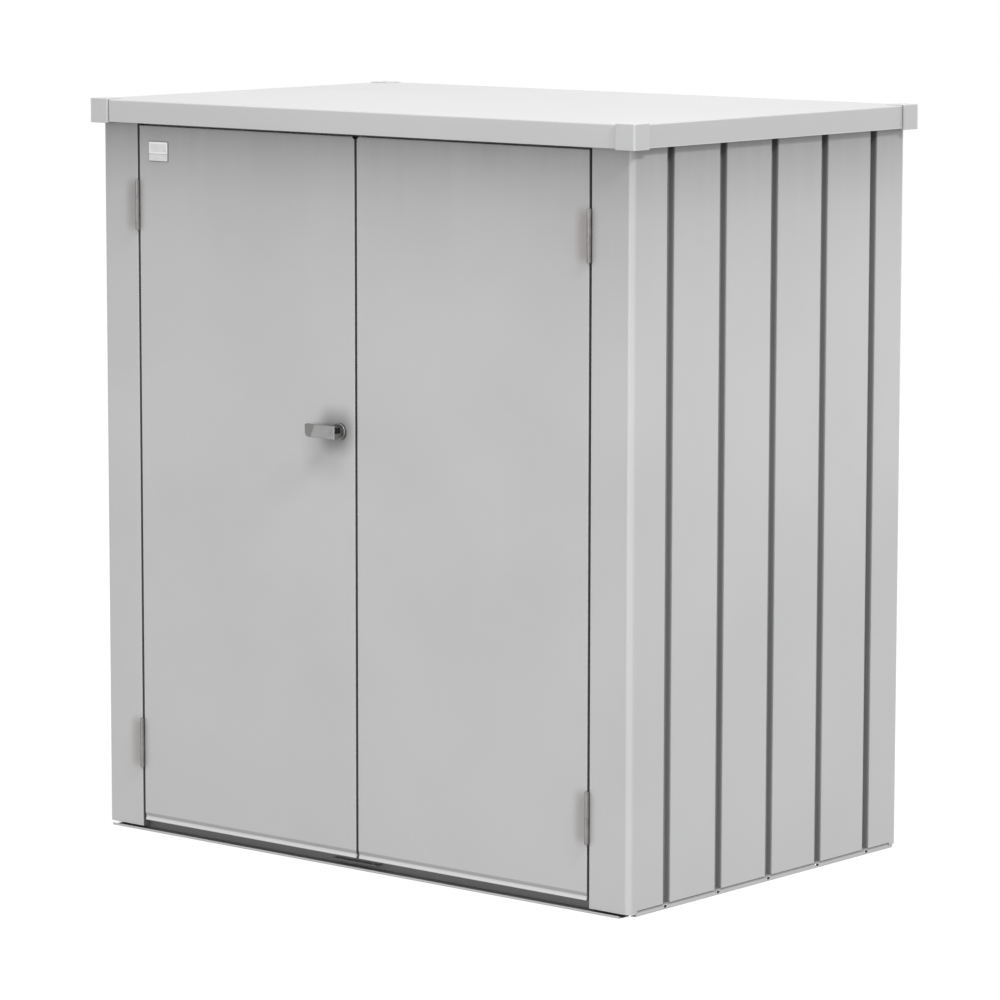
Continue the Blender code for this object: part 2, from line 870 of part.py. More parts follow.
def lid_stiffeners():
    """The front stiffener, and the rear one, whose end plates carry the struts' studs."""
    front_hat = lid_hat("lid_stiffener_front", half_depth * lid_stiffener_place_share,
                        web_inner - lid_stiffener_end_gap)
    right_head = strut_head(1)
    plate_inner = strut_eye_width / 2 + running_gap + strut_plate_thickness
    rear_hat = lid_hat("lid_stiffener_rear", right_head.y, right_head.x - plate_inner + frame_sheet)
    half = (lid_stiffener_width - frame_sheet) / 2
    for side, label in ((-1, "left"), (1, "right")):
        head = strut_head(side)
        start = head.x - side * plate_inner
        plate = bmesh.new()
        box(plate,
            (start, head.y - half, head.z - strut_lid_plate_below),
            (start + side * strut_plate_thickness, head.y + half, lid_under - seat_gap - frame_sheet / 2))
        join(rear_hat, plate, f"{label}_end_plate")
        stud(rear_hat, head, start + side * strut_plate_thickness / 2, side, label)
    return [front_hat, rear_hat]


# Gas struts

def strut_x(side):
    return side * (half_width - strut_inset)


def strut_foot(side):
    return Vector((strut_x(side), rear - strut_foot_inset, lid_top - strut_foot_drop))


def strut_head(side):
    return Vector((strut_x(side), rear - strut_head_inset, lid_top - strut_head_drop))


def eye(piece, centre):
    """Join a cross eye to a strut's end and bore it for its stud."""
    half = Vector((strut_eye_width / 2, 0, 0))
    ring = bmesh.new()
    rod_between(ring, strut_eye_radius, centre - half, centre + half, barrel_sides)
    join(piece, ring, "eye")
    bore = bmesh.new()
    rod_between(bore, strut_stud_radius + seat_gap, centre - 2 * half, centre + 2 * half, barrel_sides)
    return cut(piece, bore, "eye_bore")


def strut_cylinder(side, name):
    foot, head = strut_foot(side), strut_head(side)
    way = head - foot
    top = way.length * strut_tube_share
    bm = bmesh.new()
    profile = [
        (0, strut_stud_radius + running_gap),
        (strut_rod_radius, strut_stud_radius + running_gap),
        (strut_rod_radius, strut_tube_floor),
        (strut_tube_radius, strut_tube_floor),
        (strut_tube_radius, top),
        (strut_bore_radius, top),
        (strut_bore_radius, strut_tube_floor + frame_sheet),
        (0, strut_tube_floor + frame_sheet),
    ]
    turned(bm, profile, foot, way, barrel_sides)
    return eye(piece_from(name, bm, "black_steel"), foot)


def strut_rod(side, name):
    foot, head = strut_foot(side), strut_head(side)
    way = foot - head
    bm = bmesh.new()
    start = head + way.normalized() * (strut_stud_radius + running_gap)
    rod_between(bm, strut_rod_radius, start, head + way * strut_rod_share, barrel_sides)
    return eye(piece_from(name, bm, "hinge_steel"), head)


def stud(piece, centre, from_x, way, label):
    """Join a headed stud that starts at a plate and passes through a strut's eye."""
    retained = centre.x + way * (strut_eye_width / 2 + seat_gap)
    shank, head = bmesh.new(), bmesh.new()
    rod_between(shank, strut_stud_radius, (from_x, centre.y, centre.z),
                (retained + way * seat_gap, centre.y, centre.z), barrel_sides)
    rod_between(head, strut_stud_head_radius, (retained, centre.y, centre.z),
                (retained + way * strut_stud_head_height, centre.y, centre.z), barrel_sides)
    join(piece, shank, f"{label}_stud")
    return join(piece, head, f"{label}_stud_head")


def strut_foot_bracket(side, name):
    """A plate on the rear post's inner face, with the stud that the strut's foot turns on."""
    wall = side * (half_width - sheet - seat_gap)
    half = strut_plate_size / 2
    centre = strut_foot(side)
    bm = bmesh.new()
    box(bm,
        (wall, centre.y - half, centre.z - half),
        (wall - side * strut_plate_thickness, centre.y + half, centre.z + half))
    bracket = piece_from(name, bm, "zinc_steel")
    return stud(bracket, centre, wall - side * strut_plate_thickness / 2, -side, "foot")


# Doors

def door_skin(side, name):
    free, hinged = side * free_edge, side * (hinge_line - door_gap / 2)
    low = (min(free, hinged), front, door_foot)
    high = (max(free, hinged), front + door_depth, door_top)
    creases = (
        (door_foot + crease_top, 0),
        (door_foot + crease_middle, crease_depth),
        (door_foot + crease_bottom, 0),
    )
    skin = tray(name, low, high, "Y", 1, door_rim, sheet, "silver_paint", bend_radius + sheet, creases)
    relief = bmesh.new()
    size = door_corner_relief * math.sqrt(2)
    corner = Matrix.Translation((free, front, door_top)) @ Matrix.Rotation(math.pi / 4, 4, "Y")
    bmesh.ops.create_cube(relief, size=1, matrix=corner @ Matrix.Diagonal((size, 4 * door_depth, size, 1)))
    return cut(skin, relief, "corner_relief")


def door_hat(name, middle, inner_half, inner_depth, flange, low, high, thickness):
    """A hat section that stands on the inside of a door's skin."""
    raised = door_inner_face + inner_depth
    path = [
        (middle + inner_half + flange, door_inner_face),
        (middle + inner_half, door_inner_face),
        (middle + inner_half, raised),
        (middle - inner_half, raised),
        (middle - inner_half, door_inner_face),
        (middle - inner_half - flange, door_inner_face),
    ]
    return folded(name, path, "Z", low, high, thickness, "zinc_steel")


def door_stiffener(side, name):
    low = door_foot + crease_top + sheet + seat_gap
    high = door_top - sheet - seat_gap
    return door_hat(name, side * (free_edge + hinge_line) / 2, door_stiffener_width / 2,
                    door_stiffener_height, door_stiffener_flange, low, high, sheet)


def badge():
    bm = bmesh.new()
    x = -(hinge_line - door_gap / 2 - badge_from_hinge)
    top = door_top - badge_below_top
    box(bm,
        (x, front - seat_gap - badge_thickness, top - badge_height),
        (x + badge_width, front - seat_gap, top))
    plate = piece_from("badge_plate", bm, "badge_metal")
    round_edges(plate, badge_edge, 1)
    return plate


# Lever handle and lock on the left door

def handle_axis():
    return Vector((-(free_edge + handle_from_edge), front, handle_level))


def lock_rod_middle(way):
    """The middle of a lock rod: way is 1 for the upper rod and -1 for the lower one."""
    pitch_radius = gear_module * gear_teeth / 2
    back = pitch_radius + gear_module * rack_dedendum_share
    return handle_axis().x + way * (back + rod_width / 2), door_inner_face + rod_place + rod_thickness / 2


def rosette():
    bm = bmesh.new()
    x, y, z = handle_axis()
    profile = [
        (rosette_bore, seat_gap),
        (rosette_radius, seat_gap),
        (rosette_radius, rosette_height - lever_edge),
        (rosette_radius - lever_edge, rosette_height),
        (rosette_bore, rosette_height),
        (rosette_bore, seat_gap),
    ]
    turned(bm, profile, (x, y, z), (0, -1, 0), plug_sides)
    return piece_from("handle_rosette", bm, "lever_nickel")


def lever():
    x, y, z = handle_axis()
    face = y - lever_standoff
    back = face + lever_thickness
    bm = bmesh.new()
    box(bm,
        (x + lever_tail - lever_length, face, z - lever_height / 2),
        (x + lever_tail, back, z + lever_height / 2))
    grip = piece_from("handle_lever", bm, "lever_nickel")
    round_edges(grip, lever_edge, bend_steps)
    corner = bmesh.new()
    size = lever_corner * math.sqrt(2)
    place = Matrix.Translation((x + lever_tail - lever_length, face, z - lever_height / 2))
    diagonal = Matrix.Diagonal((size, lever_standoff, size, 1))
    bmesh.ops.create_cube(corner, size=1, matrix=place @ Matrix.Rotation(math.pi / 4, 4, "Y") @ diagonal)
    cut(grip, corner, "corner")
    neck = bmesh.new()
    neck_end = y - rosette_height - seat_gap
    half = neck_width / 2
    box(neck, (x - half, back - lever_edge, z - half), (x + half, neck_end, z + half))
    join(grip, neck, "neck")
    sockets = bmesh.new()
    rod_between(sockets, spindle_radius + spindle_clearance,
                (x, neck_end + overrun, z), (x, neck_end - neck_socket_depth, z), barrel_sides)
    rod_between(sockets, key_plug_radius + key_plug_clearance,
                (x, face - overrun, z), (x, face + key_plug_depth, z), plug_sides)
    return cut(grip, sockets, "sockets")


def key_plug():
    x, y, z = handle_axis()
    face = y - lever_standoff
    bm = bmesh.new()
    rod_between(bm, key_plug_radius, (x, face - key_plug_proud, z),
                (x, face + key_plug_depth - seat_gap, z), plug_sides)
    plug = piece_from("key_plug", bm, "lock_brass")
    slot = bmesh.new()
    box(slot,
        (x - key_slot_width / 2, face - overrun, z - key_slot_height / 2),
        (x + key_slot_width / 2, face + key_slot_depth, z + key_slot_height / 2))
    return cut(plug, slot, "key_slot")


def involute_half_angle(radius, pitch_radius):
    """Half of a tooth's angular thickness at a radius."""
    base = pitch_radius * math.cos(gear_pressure_angle)
    at_pitch = math.pi / (2 * gear_teeth) - gear_backlash / (2 * pitch_radius)
    pressure = math.acos(min(1, base / radius)) if radius > base else 0
    spread = math.tan(gear_pressure_angle) - gear_pressure_angle
    return at_pitch + spread - (math.tan(pressure) - pressure)


def lock_pinion():
    """The spindle's pinion, with one tooth on each side of the axis, level with it."""
    x, y, z = handle_axis()
    pitch_radius = gear_module * gear_teeth / 2
    tip = pitch_radius + gear_module * pinion_addendum_share
    root = pitch_radius - gear_module * pinion_dedendum_share
    base = pitch_radius * math.cos(gear_pressure_angle)
    radii = [root, base, pitch_radius, (pitch_radius + tip) / 2, tip]
    outline = []
    for tooth in range(gear_teeth):
        middle = 2 * math.pi * tooth / gear_teeth
        flank = [(radius, involute_half_angle(radius, pitch_radius)) for radius in radii]
        rising = [(radius, middle - half) for radius, half in flank]
        falling = [(radius, middle + half) for radius, half in reversed(flank)]
        outline += [(x + r * math.cos(a), z + r * math.sin(a)) for r, a in rising + falling]
    rod_middle = lock_rod_middle(1)[1]
    low, high = rod_middle - pinion_thickness / 2, rod_middle + pinion_thickness / 2
    pinion = flat_outline("lock_pinion", outline, low, high, "lever_nickel")
    shaft = bmesh.new()
    socket_end = y - rosette_height - seat_gap - neck_socket_depth
    shaft_end = door_inner_face + lock_case_depth - frame_sheet - seat_gap
    rod_between(shaft, spindle_radius, (x, socket_end + seat_gap, z), (x, shaft_end, z), barrel_sides)
    return join(pinion, shaft, "shaft")


def rack_outline(way, tip_level):
    """A lock rod with its rack: way is 1 for the upper rod and -1 for the lower one."""
    x, _, z = handle_axis()
    pitch_radius = gear_module * gear_teeth / 2
    pitch = math.pi * gear_module
    lean = math.tan(gear_pressure_angle)
    tip_at = pitch_radius - gear_module * rack_addendum_share
    root_at = pitch_radius + gear_module * rack_dedendum_share
    half_pitch_width = pitch / 4 - gear_backlash / 2
    tip_half = half_pitch_width - gear_module * rack_addendum_share * lean
    root_half = half_pitch_width + gear_module * rack_dedendum_share * lean
    teeth = range(-rack_teeth_behind, rack_teeth_ahead)
    near = []
    for number in teeth:
        middle = (number + 1 / 2) * pitch
        near += [
            (root_at, middle - root_half),
            (tip_at, middle - tip_half),
            (tip_at, middle + tip_half),
            (root_at, middle + root_half),
        ]
    back_at = root_at + rod_width
    start = (-rack_teeth_behind * pitch) - pitch / 2
    outline = [(back_at, start), (root_at, start)] + near
    outline += [(root_at, way * (tip_level - z)), (back_at, way * (tip_level - z))]
    return [(x + way * across, z + way * up) for across, up in outline]


def lock_rod(way, name):
    tip_level = door_top - rod_end_gap if way > 0 else door_foot + rod_end_gap
    middle = lock_rod_middle(way)[1]
    low, high = middle - rod_thickness / 2, middle + rod_thickness / 2
    return flat_outline(name, rack_outline(way, tip_level), low, high, "zinc_steel")


def lock_case():
    """A channel over the pinion and racks, open at its top and foot for the rods."""
    x, _, z = handle_axis()
    left, right = x - lock_case_half_width, x + lock_case_half_width
    back = door_inner_face + lock_case_depth
    path = [(left, door_inner_face), (left, back), (right, back), (right, door_inner_face)]
    return folded("lock_case", path, "Z", z - lock_case_half_height, z + lock_case_half_height,
                  frame_sheet, "zinc_steel")


def left_door():
    skin = door_skin(-1, "door_left_skin")
    holes = bmesh.new()
    x, y, z = handle_axis()
    rod_between(holes, rosette_bore, (x, y - overrun, z), (x, door_inner_face + seat_gap, z), plug_sides)
    for way, level in ((1, door_top), (-1, door_foot)):
        rod_x, rod_y = lock_rod_middle(way)
        half_x = rod_width / 2 + running_gap
        half_y = rod_thickness / 2 + running_gap
        box(holes,
            (rod_x - half_x, rod_y - half_y, level - 2 * bend_radius),
            (rod_x + half_x, rod_y + half_y, level + 2 * bend_radius))
    cut(skin, holes, "lock_holes")
    return [
        skin,
        door_stiffener(-1, "door_left_stiffener"),
        *door_hinges(-1),
        badge(),
        rosette(),
        lock_case(),
    ]


# Slide bolts on the right door

def bolt_x():
    return free_edge + bolt_from_edge


def bolt_y():
    return door_inner_face + bolt_place


def slide_bolt(way, name):
    """A round bolt with a knob: way is 1 for the upper bolt and -1 for the lower one."""
    end = door_top - rod_end_gap if way > 0 else door_foot + rod_end_gap
    inner = end - way * bolt_length
    bm = bmesh.new()
    rod_between(bm, bolt_radius, (bolt_x(), bolt_y(), inner), (bolt_x(), bolt_y(), end), barrel_sides)
    bolt = piece_from(name, bm, "hinge_steel")
    knob = bmesh.new()
    level = end - way * (bolt_housing_inset + bolt_housing_length / 2)
    rod_between(knob, bolt_knob_radius, (bolt_x(), bolt_y(), level),
                (bolt_x(), bolt_y() + bolt_knob_length, level), barrel_sides)
    return join(bolt, knob, "knob")


def bolt_housing(way, name):
    """A channel round a slide bolt, slotted for its knob's travel."""
    near = (door_top if way > 0 else door_foot) - way * (rod_end_gap + bolt_housing_inset)
    far = near - way * bolt_housing_length
    inner_depth = bolt_place + bolt_radius + running_gap
    housing = door_hat(name, bolt_x(), bolt_radius + running_gap, inner_depth, bolt_housing_flange,
                       min(near, far), max(near, far), frame_sheet)
    slot = bmesh.new()
    level = (near + far) / 2
    clear = bolt_knob_radius + running_gap
    box(slot,
        (bolt_x() - clear, bolt_y(), level - way * clear),
        (bolt_x() + clear, door_inner_face + inner_depth + overrun, level + way * (clear + bolt_travel)))
    return cut(housing, slot, "knob_slot")


def threshold_keeper():
    """An angle on the base rail under the doors, which takes the lower rod and the lower bolt."""
    face = stop_plane - seat_gap
    top = keeper_level
    rod_x, rod_y = lock_rod_middle(-1)
    low, high = rod_x - keeper_end, bolt_x() + keeper_end
    ledge, leg, holes = bmesh.new(), bmesh.new(), bmesh.new()
    box(ledge, (low, front + keeper_front_gap, top - frame_sheet), (high, face, top))
    box(leg, (low, face - frame_sheet, top - frame_sheet), (high, face, top + keeper_leg))
    clear = keeper_clearance
    box(holes,
        (rod_x - rod_width / 2 - clear, rod_y - rod_thickness / 2 - clear, 0),
        (rod_x + rod_width / 2 + clear, rod_y + rod_thickness / 2 + clear, top + overrun))
    rod_between(holes, bolt_radius + clear, (bolt_x(), bolt_y(), 0), (bolt_x(), bolt_y(), top + overrun),
                barrel_sides)
    keeper = piece_from("threshold_keeper", ledge, "black_steel")
    join(keeper, leg, "leg")
    cut(keeper, holes, "bolt_holes")


def right_door():
    skin = door_skin(1, "door_right_skin")
    holes = bmesh.new()
    for level in (door_foot, door_top):
        rod_between(holes, bolt_radius + running_gap,
                    (bolt_x(), bolt_y(), level - 2 * bend_radius),
                    (bolt_x(), bolt_y(), level + 2 * bend_radius), barrel_sides)
    cut(skin, holes, "bolt_holes")
    return [
        skin,
        door_stiffener(1, "door_right_stiffener"),
        *door_hinges(1),
        bolt_housing(1, "bolt_housing_upper"),
        bolt_housing(-1, "bolt_housing_lower"),
    ]


# Assembly

def build_carcass():
    front_post(-1, "post_front_left")
    front_post(1, "post_front_right")
    rear_post(-1, "post_rear_left")
    rear_post(1, "post_rear_right")
    side_panel(-1, "side_panel_left")
    side_panel(1, "side_panel_right")
    back_panels()
    base_rails()
    floor_plate()
    shelf()
    top_rails()
    header()
    lid_seal()
    threshold_keeper()
    strut_foot_bracket(-1, "strut_foot_bracket_left")
    strut_foot_bracket(1, "strut_foot_bracket_right")


def build_lid():
    pieces = [lid_panel(), lid_hinge(), *lid_stiffeners()]
    for x_side, x_name in ((-1, "left"), (1, "right")):
        for y_side, y_name in ((-1, "front"), (1, "rear")):
            pieces.append(lid_cap(x_side, y_side, f"lid_cap_{y_name}_{x_name}"))
    lid = joint_axis("lid_axis", (0, lid_axis_y, lid_axis_z))
    carry(lid, pieces)
    for side, name in ((-1, "left"), (1, "right")):
        foot = joint_axis(f"strut_{name}_foot_axis", strut_foot(side))
        carry(foot, [strut_cylinder(side, f"strut_cylinder_{name}")])
        head = joint_axis(f"strut_{name}_head_axis", strut_head(side))
        carry(head, [strut_rod(side, f"strut_rod_{name}")])
        carry(lid, [head])


def build_left_door():
    door = joint_axis("door_left_axis", (-hinge_line, hinge_axis_y, (door_foot + door_top) / 2))
    carry(door, left_door())
    handle = joint_axis("handle_axis", handle_axis())
    carry(handle, [lever(), lock_pinion()])
    key = joint_axis("key_axis", handle_axis())
    carry(key, [key_plug()])
    upper, lower = lock_rod(1, "lock_rod_upper"), lock_rod(-1, "lock_rod_lower")
    carry(handle, [key])
    carry(door, [handle, upper, lower])


def build_right_door():
    door = joint_axis("door_right_axis", (hinge_line, hinge_axis_y, (door_foot + door_top) / 2))
    carry(door, right_door())
    carry(door, [slide_bolt(1, "slide_bolt_upper"), slide_bolt(-1, "slide_bolt_lower")])


def centre_on_box():
    """Move all of it back by half of the lever's reach, so that the origin is under the box's middle."""
    for thing in bpy.data.objects:
        if thing.parent is None:
            thing.location.y += lever_reach / 2


clear_scene()
make_collections()
build_carcass()
build_lid()
build_left_door()
build_right_door()
centre_on_box()
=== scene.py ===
"""Looks of the outdoor storage cabinet: finishes, small fittings, studio and camera."""

import json
import math

import bpy
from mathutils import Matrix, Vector
from mathutils.bvhtree import BVHTree


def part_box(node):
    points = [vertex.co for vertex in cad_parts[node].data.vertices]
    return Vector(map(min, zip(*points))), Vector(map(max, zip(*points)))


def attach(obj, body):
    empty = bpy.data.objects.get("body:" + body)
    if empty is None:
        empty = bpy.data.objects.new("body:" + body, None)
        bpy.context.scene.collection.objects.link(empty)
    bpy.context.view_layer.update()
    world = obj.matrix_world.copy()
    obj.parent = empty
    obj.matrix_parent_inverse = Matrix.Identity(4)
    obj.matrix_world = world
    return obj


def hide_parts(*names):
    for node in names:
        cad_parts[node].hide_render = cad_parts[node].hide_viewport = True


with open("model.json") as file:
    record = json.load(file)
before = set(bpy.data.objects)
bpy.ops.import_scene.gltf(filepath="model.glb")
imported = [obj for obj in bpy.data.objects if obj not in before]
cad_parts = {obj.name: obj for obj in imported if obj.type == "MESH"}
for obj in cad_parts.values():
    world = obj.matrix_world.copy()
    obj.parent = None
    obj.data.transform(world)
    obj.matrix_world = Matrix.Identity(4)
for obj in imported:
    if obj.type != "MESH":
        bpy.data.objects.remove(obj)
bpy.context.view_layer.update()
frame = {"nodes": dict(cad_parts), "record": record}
nodes = frame["nodes"]

# Camera, fitted to the photograph
camera_place = (5.7667, -6.8620, 1.8904)
camera_target = (0.2326, -0.41425, 0.707)
camera_lens = 171.4
camera_shift_x = 0.0521
camera_shift_y = 0.0036

# Shading and merging
crease_angle = math.radians(50)
bevel_angle = math.radians(30)
merge_distance = 0.00002

# How far a face has to look one way to be picked, and between which shares a mark in the paint fades
squarely = 0.99
mostly = 0.9
partly = 0.5
turning = (0.3, 0.7)

# Fixings
screw_sides = 24
hinge_screw_radius = 0.0036
hinge_screw_height = 0.0006
hinge_screw_count = 3
rivet_head_radius = 0.0030
rivet_head_height = 0.0011
base_screw_ring = 0.0040
base_screw_hole = 0.0030
base_screw_height = 0.0009
base_screw_level = 0.0061
base_screw_depth = 0.0007
base_screw_stretch = (1.5, 0.9, 1.0)
leaf_edge_margin = 0.0035
leaf_end_margin = 0.014
leaf_flat_share = 0.5
groove_reach = 0.05
groove_floor_tolerance = 0.0002
hinge_cap_radius = 0.0039
hinge_cap_height = 0.0012
hinge_knuckle_offset = 0.0030
rivet_margin = 0.0065
lid_rivet_margin = 0.035
shelf_screw_margin = 0.060
shelf_screw_drop = 0.0110
shelf_screw_count = 3
stiffener_rivet_count = 8
roof_rivet_count = 9
floor_rivet_count = 9
hinge_rivet_count = 15
round_segments = 4
bore_sides = 48
fixing_gap = 0.0001

# Lever, rosette, key and badge
lever_round = 0.0012
lever_zone_share = 0.27
lever_zone_lean = 0.42
lever_zone_step = 0.0007
lever_round_segments = 3
lever_cut_corner = 0.0085
lever_cut_segments = 2
lever_slab_depth = 0.009
lever_neck_half = 0.0085
lever_neck_round = 0.0015
recess_low_share = 0.42
recess_rim = 0.0016
recess_depth = 0.0024
recess_back_margin = 0.0030
rosette_round = 0.0012
rosette_sides = 64
rosette_bore_radius = 0.0068
key_radius = 0.0062
key_ring_width = 0.0009
key_ring_step = 0.0002
key_slot_width = 0.0007
key_slot_length = 0.0050
key_slot_depth = 0.0020
badge_round = 0.0011
badge_round_segments = 3
badge_line_share = 0.36
badge_line_width = 0.0016
badge_rim = 0.0034
badge_step = 0.0003

# Paint, and the painted shade, shadows and highlights in it: far_off stands for a mark without an end along
# an axis
far_off = 10
front_tone = (0.535, 0.560)
wall_tone = (0.545, 0.565)
cap_tone = (0.555, 0.580)
paint_gloss = 0.35
lid_gloss = 0.20
dust_share = 0.04
# How strong the painted shade under the lid's edge is, and how far down it reaches
eaves_strength = 0.33
side_eaves_strength = 0.37
eaves_reach = 0.60
eaves_near = 0.13
eaves_near_share = 0.34
# Painted shade in the walls' grooves: full at one depth from the face, none near the face
groove_painted_shade = 0.50
groove_full_shade = 0.0060
groove_no_shade = 0.0015
# Painted shade in the recess of the front base rail, behind its lip
plinth_painted_shade = 0.68
plinth_full_shade = 0.0120
plinth_no_shade = 0.0035
# A painted shade line along the top of the base strips, under the walls' lower edge
strip_painted_shade = 0.46
strip_line = 0.0056
gap_painted_shade = 0.55
gap_middle_depth = 0.0145
gap_half_depth = 0.0125
gap_margin = 0.0010
gap_fade = 0.0015
# A painted shade line and a painted highlight along the crease at the doors' foot
crease_shade_level = 0.0118
crease_shine_level = 0.0046
crease_half = 0.0022
crease_fade = 0.0020
crease_painted_shade = 0.26
crease_shine = 0.35
# Painted shadows of the hinge barrels, on one side of each gap
hinge_shadow_inset = 0.0095
hinge_shadow_half = (0.0050, far_off, 0.0330)
hinge_shadow_fade = 0.0260
hinge_painted_shadow = 0.36
hinge_shadow_tint = (0.135, 0.098, 0.094)
# Painted shadows of the lever on the door, round and below it: place, half size, fade and strength
lever_shadow_marks = [
    ((-0.0480, -0.4020, 0.8148), (0.0120, 0.0100, 0.0120), 0.0450, 0.48),
    ((-0.0780, -0.4020, 0.7740), (0.0140, 0.0100, 0.0120), 0.0550, 0.14),
]
# Painted shade round the edges of the badge
badge_edge_fade = 0.0030
badge_edge_painted_shade = 0.60
# A painted highlight along the posts' rounded corners
corner_band_inset_x = 0.0020
corner_band_inset_y = 0.0045
corner_band_half = 0.0010
corner_band_fade = 0.0080
corner_band = 0.22
# A painted shadow line on the lid's skirt beside each cap
seam_half = 0.0008
seam_fade = 0.0020
seam_painted_shade = 0.50
# A painted highlight along the caps' outer edges
cap_shine_inset = 0.0012
cap_shine_fade = 0.0034
cap_shine = 0.55
# Painted shade on the sides of the lid's skirt and of the caps
skirt_depth = 0.0008
skirt_shade = 0.12
cap_shade = 0.08

# Studio: each softbox has a place, a target, a size and a power
floor_size = 40
floor_level = 0
floor_albedo = 0.15
floor_roughness = 0.9
floor_glow = 0.91
floor_lift = 0.25
sky_strength = 0.66
softboxes = [
    ("grazing_softbox", (7.10, -1.70, 7.75), (0.1, -0.4, 0.75), (1.4, 1.4), 474),
    ("front_softbox", (0.70, -8.37, 1.0), (0.0, -0.4, 0.7), (3.0, 2.0), 152),
    ("top_softbox", (0.6, -1.9, 5.0), (0.1, -0.2, 0.7), (3.0, 2.0), 29),
    ("roof_softbox", (0.0, 0.1, 5.4), (0.0, 0.1, 1.4), (2.0, 2.0), 51),
    ("back_softbox", (1.6, 5.0, 1.4), (0.2, 0.4, 0.6), (3.0, 1.8), 40),
]


def deselect():
    bpy.ops.object.select_all(action="DESELECT")


def choose(piece):
    deselect()
    piece.select_set(True)
    bpy.context.view_layer.objects.active = piece


def settle(piece):
    """Put the piece's place, turn and size into its mesh."""
    choose(piece)
    bpy.ops.object.transform_apply(location=True, rotation=True, scale=True)
    return piece


def start_box(name, low, high):
    low, high = Vector(low), Vector(high)
    deselect()
    bpy.ops.mesh.primitive_cube_add(size=1, location=(low + high) / 2)
    piece = bpy.context.object
    piece.name = name
    piece.scale = high - low
    return settle(piece)


def start_rod(name, radius, start, end, sides):
    start, end = Vector(start), Vector(end)
    run = end - start
    deselect()
    bpy.ops.mesh.primitive_cylinder_add(
        radius=radius, depth=run.length, vertices=sides, location=(start + end) / 2,
        rotation=run.to_track_quat("Z", "Y").to_euler(),
    )
    piece = bpy.context.object
    piece.name = name
    return settle(piece)


def start_edit(piece, kind, action="DESELECT"):
    """Enter edit mode on one piece, with none or all of it selected."""
    choose(piece)
    bpy.ops.object.mode_set(mode="EDIT")
    bpy.ops.mesh.select_mode(type=kind)
    bpy.ops.mesh.select_all(action=action)


def finish_edit():
    bpy.ops.mesh.select_all(action="DESELECT")
    bpy.ops.object.mode_set(mode="OBJECT")


def pick_faces(piece, wanted):
    """Enter edit mode with the faces selected that pass a test of their middle and normal."""
    start_edit(piece, "FACE")
    bpy.ops.object.mode_set(mode="OBJECT")
    for face in piece.data.polygons:
        face.select = wanted(face.center, face.normal)
    bpy.ops.object.mode_set(mode="EDIT")


def sink(rim, move):
    """Leave a rim round the picked faces, and push their middle in."""
    bpy.ops.mesh.inset(thickness=rim)
    bpy.ops.mesh.extrude_region_move(TRANSFORM_OT_translate={"value": move})


def round_edges(piece, width, segments, wanted):
    """Round the edges that pass a test of their two ends."""
    start_edit(piece, "EDGE")
    bpy.ops.object.mode_set(mode="OBJECT")
    points = [vertex.co for vertex in piece.data.vertices]
    for edge in piece.data.edges:
        first, second = edge.vertices
        edge.select = wanted(points[first], points[second])
    bpy.ops.object.mode_set(mode="EDIT")
    bpy.ops.mesh.bevel(offset=width, segments=segments, affect="EDGES")
    finish_edit()


def round_sharp_edges(piece, width, segments):
    start_edit(piece, "EDGE")
    bpy.ops.mesh.edges_select_sharp(sharpness=bevel_angle)
    bpy.ops.mesh.bevel(offset=width, segments=segments, affect="EDGES")
    finish_edit()


def smooth(piece):
    """Smooth shading that leaves flat faces flat beside their rounded edges."""
    choose(piece)
    bpy.ops.object.shade_smooth_by_angle(angle=crease_angle)
    weighted = piece.modifiers.new("weighted", "WEIGHTED_NORMAL")
    weighted.keep_sharp = True
    bpy.ops.object.modifier_apply(modifier=weighted.name)
    return piece


def coat(piece, finish):
    piece.data.materials.clear()
    piece.data.materials.append(finishes[finish])


def dress(piece, finish, body, stands_for=()):
    """Give a piece its finish, its body and the CAD nodes that it stands for."""
    coat(piece, finish)
    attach(piece, body)
    if stands_for:
        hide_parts(*stands_for)
    return piece


def joined(name, pieces):
    deselect()
    for piece in pieces:
        piece.select_set(True)
    bpy.context.view_layer.objects.active = pieces[0]
    bpy.ops.object.join()
    whole = bpy.context.object
    whole.name = name
    return whole


def put_in_scene(name, data):
    piece = bpy.data.objects.new(name, data)
    bpy.context.scene.collection.objects.link(piece)
    return piece


def copies(model, name, places):
    """Copies of a model at a list of places, each (position, direction its top points to)."""
    made = []
    for position, direction in places:
        twin = put_in_scene(name, model.data.copy())
        twin.location = position
        twin.rotation_euler = Vector(direction).to_track_quat("Z", "Y").to_euler()
        made.append(settle(twin))
    return joined(name, made)


def smooth_copy(node, finish):
    """A merged, smooth-shaded copy of a folded or turned node, which stands for it."""
    piece = put_in_scene(f"{node}_surface", nodes[node].data.copy())
    choose(piece)
    bpy.ops.mesh.customdata_custom_splitnormals_clear()
    start_edit(piece, "VERT", "SELECT")
    bpy.ops.mesh.remove_doubles(threshold=merge_distance)
    finish_edit()
    smooth(piece)
    return dress(piece, finish, body_of[node], (node,))


# Shader node groups

def new_group(name, inputs, outputs):
    """A node group that reads a place and some values, and puts out masks and values."""
    tree = bpy.data.node_groups.new(name, "ShaderNodeTree")
    tree.interface.new_socket(name="Vector", in_out="INPUT", socket_type="NodeSocketVector")
    for label, value in inputs.items():
        kind = "NodeSocketVector" if isinstance(value, tuple) else "NodeSocketFloat"
        tree.interface.new_socket(name=label, in_out="INPUT", socket_type=kind).default_value = value
    for label in outputs:
        tree.interface.new_socket(name=label, in_out="OUTPUT", socket_type="NodeSocketFloat")
    return tree, tree.nodes.new("NodeGroupInput"), tree.nodes.new("NodeGroupOutput")


